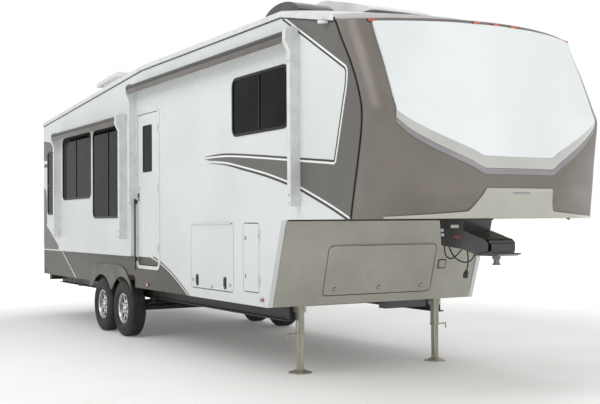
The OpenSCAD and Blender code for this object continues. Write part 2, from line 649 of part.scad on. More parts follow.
// Axle tubes with spindles and brakes; leaf packs sit on seats on the tubes
spindle_r = 22;
brake_r = 152;
hub_bore_l = 55;
hub_in = wheel_y - 20;
brake_in = wheel_y - 84;
module axles() color("#202123")
    for (k = [-1, 1]) {
        x = at(axle_mid_s + k * axle_gap / 2);
        cyl_y(x, -brake_in, hub_z, axle_d / 2, 2 * brake_in);
        for (side = [-1, 1]) {
            cyl_y(x, side > 0 ? brake_in : -hub_in - hub_bore_l + 1, hub_z, spindle_r,
                hub_in + hub_bore_l - 1 - brake_in);
            cyl_y(x, side > 0 ? brake_in : -brake_in - 54, hub_z, brake_r, 54);
            box(x - 45, side * spring_y - 32, hub_z + axle_d / 2 - 12, x + 45, side * spring_y + 32, pack_foot_z);
        }
    }
function leaf_z(d) = seat_z + len(LEAVES) * leaf_t2 + leaf_drop * pow(d / spring_half, 2);
pack_foot_z = leaf_z(LEAVES[3]) - len(LEAVES) * leaf_t2;
function leaf_step(i, f) = [[f * LEAVES[i], leaf_z(LEAVES[i]) - i * leaf_t2],
    [f * LEAVES[i], leaf_z(LEAVES[i]) - (i + 1) * leaf_t2]];
module leaf_springs() color("#26272a")
    for (k = [-1, 1]) for (side = [-1, 1])
        translate([at(axle_mid_s + k * axle_gap / 2), 0, 0]) plate_y(side * spring_y - 28, 56)
            polygon(concat(
                [for (k = [-5:5]) let (d = k * spring_half / 6) [d, leaf_z(d)]],
                [for (i = [0:len(LEAVES) - 1]) for (p = leaf_step(i, 1)) p],
                [for (i = [len(LEAVES) - 1:-1:0]) let (s = leaf_step(i, -1)) for (k = [1, 0]) s[k]]));

// Wheels: a solid tyre ring and a drilled rim with its hub
hub_r = 40;
lug_circle = 70;
module tyre_ring() rotate([90, 0, 0]) rotate_extrude($fn = 96) polygon(concat(
    [[rim_d / 2, -tyre_w * 0.38], [rim_d / 2, tyre_w * 0.38], [rim_d / 2 + 14, tyre_w * 0.42]],
    arc(rim_d / 2 + 68, tyre_w * 0.28, 58, tyre_w * 0.22, 130, 60, 5),
    [[tyre_d / 2 - 32, tyre_w * 0.44], [tyre_d / 2 - 10, tyre_w * 0.37], [tyre_d / 2, tyre_w * 0.28],
        [tyre_d / 2, -tyre_w * 0.28], [tyre_d / 2 - 10, -tyre_w * 0.37], [tyre_d / 2 - 32, -tyre_w * 0.44]],
    arc(rim_d / 2 + 68, -tyre_w * 0.28, 58, tyre_w * 0.22, -60, -130, 5),
    [[rim_d / 2 + 14, -tyre_w * 0.42]]));
// The barrel's section: radius and distance from the wheel's middle plane towards the outer face
BARREL = [[178, -86], [190.2, -86], [190.2, 86], [180, 86], [172, 70], [172, -60]];
spokes = 8;
module rim() rotate([-90, 0, 0]) {
    rotate_extrude($fn = 72) polygon(BARREL);
    translate([0, 0, 34]) linear_extrude(20) difference() {
        circle(r = 173, $fn = 72);
        circle(r = spindle_r + 0.3);
        for (i = [0:spokes - 1]) rotate(i * 360 / spokes) polygon([
            [96, -16], [148, -38], [157, -20], [159, 0], [157, 20], [148, 38], [96, 16]]);
    }
    translate([0, 0, hub_in - wheel_y]) difference() {
        cylinder(r = hub_r, h = 84);
        translate([0, 0, -1]) cylinder(r = spindle_r + 0.3, h = hub_bore_l + 1);
    }
    for (a = [0:60:359]) rotate(a) translate([lug_circle, 0, 50]) cylinder(r = 10, h = 18, $fn = 6);
}
module wheel_place(k, side) translate([at(axle_mid_s + k * axle_gap / 2), side * wheel_y, hub_z])
    rotate(side > 0 ? 0 : 180) children();
module front_door_side_tyre() color("#1b1b1c") wheel_place(1, -1) tyre_ring();
module front_door_side_rim() color("#b9bcc0") wheel_place(1, -1) rim();
module rear_door_side_tyre() color("#1b1b1c") wheel_place(-1, -1) tyre_ring();
module rear_door_side_rim() color("#b9bcc0") wheel_place(-1, -1) rim();
module front_off_side_tyre() color("#1b1b1c") wheel_place(1, 1) tyre_ring();
module front_off_side_rim() color("#b9bcc0") wheel_place(1, 1) rim();
module rear_off_side_tyre() color("#1b1b1c") wheel_place(-1, 1) tyre_ring();
module rear_off_side_rim() color("#b9bcc0") wheel_place(-1, 1) rim();

// Landing legs: black sockets under the basement, telescoping tubes, pull pins and round feet
socket_z = 582;
clamp_z = 381;
foot_z = 65;
pin_reach = 150;
module landing_legs() color("#a9a79c")
    for (side = [-1, 1]) translate([at(leg_s), side * leg_y, 0]) {
        box(-46, -46, socket_z, 46, 46, rail_top);
        box(-leg_w / 2, -leg_w / 2, clamp_z, leg_w / 2, leg_w / 2, socket_z);
        box(-leg_w / 2 + 5, -leg_w / 2 + 5, foot_z - 25, leg_w / 2 - 5, leg_w / 2 - 5, clamp_z);
        box(-leg_w / 2 - 5, -leg_w / 2 - 5, clamp_z - 9, leg_w / 2 + 5, leg_w / 2 + 5, clamp_z + 9);
        translate([0, side > 0 ? 0 : -pin_reach, clamp_z]) rotate([-90, 0, 0]) cylinder(r = 7, h = pin_reach);
        translate([0, side * (pin_reach - 6), clamp_z - 50]) cylinder(r = 6, h = 54);
        cylinder(r = foot_d / 2, h = 10);
        translate([0, 0, 10]) cylinder(r1 = foot_d / 2 - 10, r2 = 45, h = 22);
        translate([0, 0, 32]) cylinder(r = 36, h = foot_z - 32);
    }
module landing_gear_drive() color("#1b1c1e") {
    box(at(leg_s) - 60, 150, 574, at(leg_s) + 60, 650, rail_top);
    cyl_y(at(leg_s), -leg_y + 46, 650, 14, 2 * leg_y - 92);
}
module rear_stabilisers() color("#202123")
    for (side = [-1, 1]) {
        box(at(420), side * 700 - 30, 470, at(480), side * 700 + 30, rail_top - cross_h);
        box(at(240), side * 700 - 60, rail_top - cross_h - 20, at(510), side * 700 + 60, rail_top - cross_h);
        box(at(390), side * 700 - 75, 455, at(510), side * 700 + 75, 470);
    }

// Pin box: a folded steel box under the deck, its pivoted head, the coupling plate and the kingpin
px = cap_x + pin_box_ahead;
pin_top = deck_z;
PIN_SIDE = [[0, 1463], [345, 1463], [320, 1372], [605, 1296], [635, 1270], [635, 1200],
    [468, 1174], [310, 1212], [20, 1239]];
module pin_box() color("#151517") {
    for (side = [-1, 1]) plate_y(side > 0 ? pin_box_y - pin_plate : -pin_box_y, pin_plate)
        translate([px, 0]) polygon(PIN_SIDE);
    box(px - 10, -pin_box_y - 15, 1459, px + 345, pin_box_y + 15, pin_top);
    plate_y(-pin_box_y, 2 * pin_box_y) translate([px, 0]) {
        polygon([[0, 1463], [pin_plate, 1463], [20 + pin_plate, 1239], [20, 1239]]);
        polygon([[345, 1463], [320, 1372], [605, 1296], [603, 1288], [312, 1365], [337, 1463]]);
    }
    box(px + 455, -125, 1184, px + 655, 125, 1262);
    cyl_y(px + 603, -132, 1272, 32, 264);
    plate_y(-125, 250) translate([px, 0]) polygon([
        [430, coupling_z], [690, coupling_z], [735, coupling_z + 16], [735, coupling_z + 26],
        [690, coupling_z + 25], [430, coupling_z + 25]]);
    box(px + pin_plate + 2, -142, 1262, px + 44, -112, 1286);
}
kingpin_x = px + 571;
neck_l = 36.2;
collar_l = 28;
module kingpin() color("#6f7174") translate([kingpin_x, 0, coupling_z]) {
    translate([0, 0, -collar_l]) cylinder(r = kingpin_head_d / 2, h = collar_l);
    translate([0, 0, -collar_l - neck_l]) cylinder(r = kingpin_d / 2, h = neck_l);
    translate([0, 0, -collar_l - neck_l - 15]) cylinder(r = kingpin_head_d / 2, h = 15);
}

// Roof units. The rear unit lies on the slope; each is placed by its rear end and middle
AC_UNITS = [[main_l - 1837, 0], [1500, 0]];
AC_PROFILE = [[0, -1], [0, 0.55], [0.04, 0.84], [0.1, 0.97], [0.17, 1], [0.27, 0.96], [0.44, 0.77],
    [0.65, 0.53], [0.83, 0.31], [0.95, 0.12], [1, 0.02], [1, -1]];
ac_bed = 110;
function roof_slope(s) = s < bend_s ? atan((eave_z - eave_rear_z) / bend_s) : 0;
module air_conditioners() color("#e9ebea")
    for (u = AC_UNITS) translate([at(u[0]), u[1] - ac_w / 2, roof_line(u[0]) + roof_edge])
        rotate([0, -roof_slope(u[0]), 0]) difference() {
            plate_y(0, ac_w) polygon([for (p = AC_PROFILE)
                [p[0] * ac_l, p[1] < 0 ? 20 : roof_crown + p[1] * ac_h]]);
            ac_bed(u[1]);
        }
module ac_bed(yc)
    plate_x(-10, ac_l + 20) polygon(concat([[-10, 0]],
        [for (i = [0:8]) let (y = i * ac_w / 8) [y, crown(yc - ac_w / 2 + y) + 0.5]], [[ac_w + 10, 0]]));
// Vents: rear end, length, middle, width, height
VENTS = [[main_l - 1784, 720, -750, 400, 150], [5200, 420, 300, 420, 90], [600, 420, 250, 420, 90]];
// Rear unit under a flat lid that overhangs its dark base: rear end, length, door-side edge, width
LID = [2193, 967, -1050, 430];
lid_h = 168;
lid_t = 55;
module roof_vents() color("#3b3d3f")
    for (v = VENTS) translate([at(v[0]), v[2] - v[3] / 2, roof_line(v[0]) + roof_edge])
        rotate([0, -roof_slope(v[0]), 0]) difference() {
            plate_y(0, v[3]) polygon(concat([[0, 0]], [[v[1], 0]],
                arc(v[1] / 2, crown(v[2]), v[1] / 2, v[4], 0, 180, 12)));
            plate_x(-10, v[1] + 20) polygon(concat([[-10, -10]],
                [for (i = [0:4]) let (y = i * v[3] / 4) [y, crown(v[2] - v[3] / 2 + y) + 0.5]], [[v[3] + 10, -10]]));
        }

module lidded_vent() color("#8f9192")
    translate([at(LID[0]), LID[2], roof_line(LID[0]) + roof_edge]) rotate([0, -roof_slope(LID[0]), 0])
        difference() {
            union() {
                box(190, 35, 0, LID[1] - 70, LID[3] - 35, lid_h + 1);
                plate_y(0, LID[3]) polygon([[0, lid_h], [0, lid_h + lid_t - 18], [30, lid_h + lid_t],
                    [LID[1] - 90, lid_h + lid_t], [LID[1], lid_h + lid_t - 40], [LID[1], lid_h - 30],
                    [LID[1] - 60, lid_h - 30], [LID[1] - 90, lid_h]]);
            }
            plate_x(-10, LID[1] + 20) polygon(concat([[-10, -10]],
                [for (i = [0:4]) let (y = i * LID[3] / 4) [y, crown(LID[2] + y) + 0.5]], [[LID[3] + 10, -10]]));
        }

// Awnings: a pair of arms with cast heads and a dark roller between them
module awning_arm(s, z0, z1, face) {
    side_plate(-1, face + arm_out, arm_out) translate([at(s) - arm_w / 2, z0]) square([arm_w, z1 - z0]);
}
module awning_head(s, z, face)
    plate_x(at(s) - arm_w / 2, arm_w) polygon([
        [-face, z - 150], [-face - arm_out, z - 150], [-face - arm_out - 45, z - 60],
        [-face - arm_out - 42, z + 40], [-face - arm_out + 10, z + 68], [-face - 30, z + 60], [-face, z - 20]]);
// Patio arms: station and lower end
PATIO_ARMS = [[entry_s - 83, 1690], [main_l - 610, 1589]];
slide_face = half_w + slide_out;
slide_arm_ss = [slide_s0 + 90, slide_s1 - 165];
slide_arm_z0 = belt_z + 214;
head_drop = 140;
module awning_arms() color("#dcdfdd")
    for (a = PATIO_ARMS) {
        awning_arm(a[0], a[1], patio_roller_z - head_drop, half_w);
        awning_head(a[0], patio_roller_z, half_w);
    }
module roller(s0, s1, y, z, r) color("#1d1e20") cyl_x(at(s0) + arm_w / 2, y, z, r, s1 - s0 - arm_w);
roller_in = 5;
module awning_roller() roller(PATIO_ARMS[0][0], PATIO_ARMS[1][0], -half_w - arm_out + roller_in, patio_roller_z,
    roller_r);
module slideout_awning() color("#dcdfdd") for (s = slide_arm_ss) {
    awning_arm(s, slide_arm_z0, slide_roller_z - head_drop, slide_face);
    awning_head(s, slide_roller_z, slide_face);
}
module slideout_roller()
    roller(slide_arm_ss[0], slide_arm_ss[1], -slide_face - arm_out + roller_in, slide_roller_z, roller_r);

// Lamps: side markers by station and height, tail lamps on the rear wall
MARKERS = [[basement_s - 103, skirt_z + 66], [4615, skirt_z + 54], [67, skirt_z + 51]];
tail_y = 1040;
tail_z = 900;
tail_h = 390;
module lamps() color("#b5401f") {
    for (m = MARKERS) for (side = [-1, 1]) translate([at(m[0]), 0, m[1]])
        side_plate(side, half_w + 14, 14) polygon(arc(0, 0, 34, 18, 0, 330, 11));
    for (side = [-1, 1])
        box(at(0) - 22, side * tail_y - 55, tail_z, at(0), side * tail_y + 55, tail_z + tail_h);
    for (y = [-120, 0, 120])
        box(at(0) - 16, y - 32, eave_rear_z - 98, at(0), y + 32, eave_rear_z - 66);
}

// Entry door, compartment doors and hatch
module entry_door() color("#d3d7d6") {
    side_plate(-1, half_w, door_t) difference() {
        slot(entry_slot);
        slot(ENTRY_WINDOW);
    }
    hinge_upright(entry_hinge_x, -1, entry_hinge_zs, true, -1);
    side_plate(-1, half_w + 12, 12) slot([entry_s + 18, entry_z + 770, entry_s + 76, entry_z + 880, 12]);
}
module entry_door_glass() color("#15181b") side_plate(-1, half_w, pane_t) slot(ENTRY_WINDOW);
module baggage_flap(w, side) color("#d8dcdb") {
    side_plate(side, half_w, door_t) slot(w);
    hinge_level(baggage_hinge_z(w), side, w, true);
}
module baggage_door() baggage_flap(BAGGAGE, -1);
module off_baggage_door() baggage_flap(OFF_BAGGAGE, 1);
module utility_door() color("#d8dcdb") {
    side_plate(-1, half_w, door_t) slot(UTILITY);
    hinge_upright(utility_hinge_x, -1, utility_hinge_zs, true, -1);
}
module front_hatch() color("#a3a29a") leaned() {
    plate_x(-door_t, door_t) slot_y(HATCH);
    hatch_hinge(true);
}

// Sliding rooms: a box open to the cabin, an outer face with its flange, and panes
module slide_room(side, s0, s1, windows) {
    side_plate(side, half_w + slide_out, slide_out - hinge_play) difference() {
        polygon(rounded(at(s0), belt_z, at(s1), slide_top, 20));
        for (w = windows) slot(w);
    }
    x0 = at(s0 + slide_lap + slide_gap);
    x1 = at(s1 - slide_lap - slide_gap);
    z0 = slide_open_z0 + slide_gap;
    z1 = slide_open_z1 - slide_gap;
    difference() {
        room_block(side, x0, x1, z0, z1, half_w - slide_depth, half_w - hinge_play);
        room_block(side, x0 + slide_wall, x1 - slide_wall, z0 + slide_wall, z1 - slide_wall,
            half_w - slide_depth - 1, half_w + 1);
    }
    room_wall(side, x0, x1, z0, z1, windows);
}
module room_block(side, x0, x1, z0, z1, y0, y1)
    box(x0, side > 0 ? y0 : -y1, z0, x1, side > 0 ? y1 : -y0, z1);
module room_wall(side, x0, x1, z0, z1, windows)
    side_plate(side, half_w + 1, slide_wall) difference() {
        polygon([[x0, z0], [x1, z0], [x1, z1], [x0, z1]]);
        for (w = windows) slot(w);
    }
module slide_panes(side, windows) color("#15181b")
    for (w = windows) side_plate(side, half_w + slide_out, pane_t) slot(w);
module slideout_room() color("#d5d9d8") slide_room(-1, slide_s0, slide_s1, SLIDE_WINDOWS);
module slideout_frames() window_frames(-1, slide_face, SLIDE_WINDOWS, SLIDE_BARS);
module slideout_glass() slide_panes(-1, SLIDE_WINDOWS);
module off_slideout_room() color("#d5d9d8") slide_room(1, off_slide_s0, off_slide_s1, OFF_SLIDE_WINDOWS);
module off_slideout_frames() window_frames(1, slide_face, OFF_SLIDE_WINDOWS, []);
module off_slideout_glass() slide_panes(1, OFF_SLIDE_WINDOWS);
module off_slideout_topper() color("#d9dcdb") {
    for (s = [off_slide_s0 + 60, off_slide_s1 - 60]) plate_x(at(s) - 20, 40) polygon([
        [slide_face, slide_roller_z - 60], [slide_face + 80, slide_roller_z - 50],
        [slide_face + 118, slide_roller_z], [slide_face + 80, slide_roller_z + 45], [slide_face, slide_roller_z + 50]]);
    cyl_x(at(off_slide_s0 + 80), slide_face + 76, slide_roller_z, roller_r - 3, off_slide_s1 - off_slide_s0 - 160);
}

// Towing cable: hangs in two loops under the pin box and ends in its plug
cord_r = 6;
// Route: distance ahead of the pin box's rear plate, Y, Z
CORD = [[36, -128, 1262], [36, -128, 1225], [41, -128, 1185], [56, -129, 1150], [88, -130, 1131],
    [125, -131, 1126], [165, -132, 1134], [205, -133, 1155], [250, -133, 1187], [290, -132, 1220],
    [305, -130, 1255], [303, -126, 1290], [275, -122, 1322], [225, -118, 1335], [165, -114, 1330],
    [110, -111, 1305], [80, -109, 1265], [80, -108, 1225], [108, -108, 1180], [150, -108, 1140],
    [200, -108, 1115], [255, -108, 1102], [315, -108, 1100], [365, -108, 1115], [405, -108, 1150],
    [425, -109, 1195], [431, -112, 1242], [417, -114, 1276], [383, -116, 1290], [350, -119, 1276],
    [337, -122, 1242], [341, -124, 1200], [351, -125, 1155], [354, -126, 1110], [347, -126, 1070],
    [335, -126, 1036]];
function unit(v) = v / norm(v);
function cord_dir(i) = unit(CORD[min(i + 1, len(CORD) - 1)] - CORD[max(i - 1, 0)]);
function cord_ring(i) = let (d = cord_dir(i), u = unit(cross(d, [0, 1, 0])), v = cross(d, u))
    [for (k = [0:7]) CORD[i] + cord_r * (cos(45 * k) * u + sin(45 * k) * v)];
module power_cord() color("#161617") translate([px, 0, 0]) {
    n = len(CORD);
    polyhedron([for (i = [0:n - 1]) for (p = cord_ring(i)) p], concat(
        [[for (k = [0:7]) k]], [[for (k = [7:-1:0]) (n - 1) * 8 + k]],
        [for (i = [0:n - 2]) for (k = [0:7]) for (f = [0, 1]) let (q = (k + 1) % 8)
            f == 0 ? [i * 8 + k, (i + 1) * 8 + k, (i + 1) * 8 + q] : [i * 8 + k, (i + 1) * 8 + q, i * 8 + q]]));
}
plug_l = 70;
module power_plug() color("#161617") {
    last = CORD[len(CORD) - 1];
    d = cord_dir(len(CORD) - 1);
    translate([px + last[0], last[1], last[2]]) rotate([0, 180 + atan2(d[0], d[2]) - 180, 0]) {
        cylinder(r1 = 9, r2 = 15, h = 22);
        translate([0, 0, 22]) cylinder(r = 21, h = plug_l - 22);
    }
}

chassis_rails();
chassis_crossmembers();
spring_hangers();
rear_bumper();
main_floor();
upper_deck();
door_side_wall();
off_door_wall();
rear_wall();
roof();
front_cap();
cap_nose_panel();
cap_bevel_bands();
cap_chin_panel();
basement_front();
opening_frames();
entry_frame();
assist_handle();
window_glass();
fender_skirts();
axles();
leaf_springs();
landing_legs();
landing_gear_drive();
rear_stabilisers();
pin_box();
kingpin();
air_conditioners();
roof_vents();
lidded_vent();
awning_arms();
awning_roller();
lamps();
power_cord();
power_plug();
front_door_side_tyre();
front_door_side_rim();
rear_door_side_tyre();
rear_door_side_rim();
front_off_side_tyre();
front_off_side_rim();
rear_off_side_tyre();
rear_off_side_rim();
entry_door();
entry_door_glass();
baggage_door();
utility_door();
front_hatch();
off_baggage_door();
slideout_room();
slideout_frames();
slideout_glass();
slideout_awning();
slideout_roller();
off_slideout_room();
off_slideout_frames();
off_slideout_glass();
off_slideout_topper();
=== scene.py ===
"""Looks of a fifth wheel travel trailer: paint, glass, vinyl graphics, trim, tyres, fittings and studio.

Lengths are metres in the frame's axes: +X forward, +Y the off-door side, +Z up, ground at z = 0.
"""

import math

import bmesh
import bpy
from mathutils import Matrix, Vector


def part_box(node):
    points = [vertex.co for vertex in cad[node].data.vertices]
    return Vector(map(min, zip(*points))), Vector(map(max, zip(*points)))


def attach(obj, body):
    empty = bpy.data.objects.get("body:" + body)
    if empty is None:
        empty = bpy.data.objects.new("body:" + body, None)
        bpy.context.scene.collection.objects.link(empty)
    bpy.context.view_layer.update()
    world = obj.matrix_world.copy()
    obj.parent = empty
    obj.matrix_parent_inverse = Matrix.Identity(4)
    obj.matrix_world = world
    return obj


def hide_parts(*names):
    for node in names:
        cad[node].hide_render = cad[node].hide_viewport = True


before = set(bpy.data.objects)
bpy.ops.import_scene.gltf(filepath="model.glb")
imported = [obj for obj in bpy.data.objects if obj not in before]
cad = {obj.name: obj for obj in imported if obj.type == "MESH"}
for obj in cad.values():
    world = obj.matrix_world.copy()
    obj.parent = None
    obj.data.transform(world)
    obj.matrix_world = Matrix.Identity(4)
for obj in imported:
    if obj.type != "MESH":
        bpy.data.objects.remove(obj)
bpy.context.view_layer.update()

# Body sizes, from the frame
HALF_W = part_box("off_door_wall")[1].y - 0.018
SKIRT_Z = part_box("rear_wall")[0].z
BELT_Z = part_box("slideout_room")[0].z
REAR_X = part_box("rear_wall")[0].x
CAP_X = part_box("front_cap")[0].x
DECK_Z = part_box("front_cap")[0].z
DECAL = 0.0008
SIDES = {"door": -1, "off": 1}
WALLS = {"door": "door_side_wall", "off": "off_door_wall"}


# Camera
def make_camera():
    """A camera at the photograph's viewing angle, for a frame of 600 by 404."""
    frame_w = 600
    focal_px = 991.28
    yaw, pitch, roll = (math.radians(a) for a in (29.69, 1.122, -0.378))
    look = Vector((-math.cos(yaw) * math.cos(pitch), math.sin(yaw) * math.cos(pitch), math.sin(pitch)))
    right = look.cross(Vector((0, 0, 1))).normalized()
    up = right.cross(look)
    r2 = right * math.cos(roll) + up * math.sin(roll)
    u2 = up * math.cos(roll) - right * math.sin(roll)
    data = bpy.data.cameras.new("camera")
    data.sensor_width = 36
    data.lens = focal_px / frame_w * data.sensor_width
    data.clip_end = 200
    cam = bpy.data.objects.new("camera", data)
    cam.matrix_world = Matrix.Translation((11.065, -5.546, 1.458)) @ Matrix((r2, u2, -look)).transposed().to_4x4()
    bpy.context.scene.collection.objects.link(cam)
    bpy.context.scene.camera = cam


make_camera()


# Colours and shader nodes
def linear(code, alpha=1.0):
    """A hex sRGB colour as linear RGBA."""
    parts = [int(code[i:i + 2], 16) / 255 for i in (1, 3, 5)]
    return tuple(c / 12.92 if c <= 0.04045 else ((c + 0.055) / 1.055) ** 2.4 for c in parts) + (alpha,)


def add(tree, kind, links=None, **values):
    """A shader node with its settings; links maps an input's name or number to a socket or a value."""
    n = tree.nodes.new(kind)
    for key, value in values.items():
        setattr(n, key, value)
    for key, value in (links or {}).items():
        if isinstance(value, bpy.types.NodeSocket):
            tree.links.new(value, n.inputs[key])
        else:
            n.inputs[key].default_value = value
    return n


def finish(name, color, second, roughness, spread=0.04, metallic=0.0, cloud_mm=700, grain_mm=2.0, depth_mm=0.1,
           stretch=(1, 1, 1), **sockets):
    """A material that drifts between two colours in clouds, with uneven gloss and a fine grain.

    cloud_mm and grain_mm are the widths of a cloud and a grain, depth_mm is the grain's depth, and sockets are
    values set on the shader itself.
    """
    mat = bpy.data.materials.new(name)
    mat.use_nodes = True
    tree = mat.node_tree
    shader = tree.nodes["Principled BSDF"]
    shader.inputs["Metallic"].default_value = metallic
    for key, value in sockets.items():
        shader.inputs[key.replace("_", " ")].default_value = value
    place = add(tree, "ShaderNodeTexCoord").outputs["Object"]
    drawn = add(tree, "ShaderNodeMapping", {0: place, 3: stretch}).outputs[0]
    cloud = add(tree, "ShaderNodeTexNoise", {"Vector": drawn, "Scale": 1000 / cloud_mm, "Detail": 4.0}).outputs[0]
    share = add(tree, "ShaderNodeMapRange", {0: cloud, 1: 0.35, 2: 0.7}).outputs[0]
    tone = add(tree, "ShaderNodeMix", {0: share, 6: linear(color), 7: linear(second)}, data_type="RGBA")
    gloss = add(tree, "ShaderNodeMapRange", {0: cloud, 1: 0.3, 2: 0.7, 3: roughness - spread / 2,
                                             4: roughness + spread})
    grain = add(tree, "ShaderNodeTexNoise", {"Vector": drawn, "Scale": 1000 / grain_mm, "Detail": 2.0}).outputs[0]
    relief = add(tree, "ShaderNodeBump", {"Height": grain, "Distance": depth_mm / 1000, "Strength": 0.4})
    tree.links.new(tone.outputs[2], shader.inputs["Base Color"])
    tree.links.new(gloss.outputs[0], shader.inputs["Roughness"])
    tree.links.new(relief.outputs[0], shader.inputs["Normal"])
    return mat


SKIRT = "#57544c"
GRAPHIC = "#6b6965"
LINE = "#4a4946"

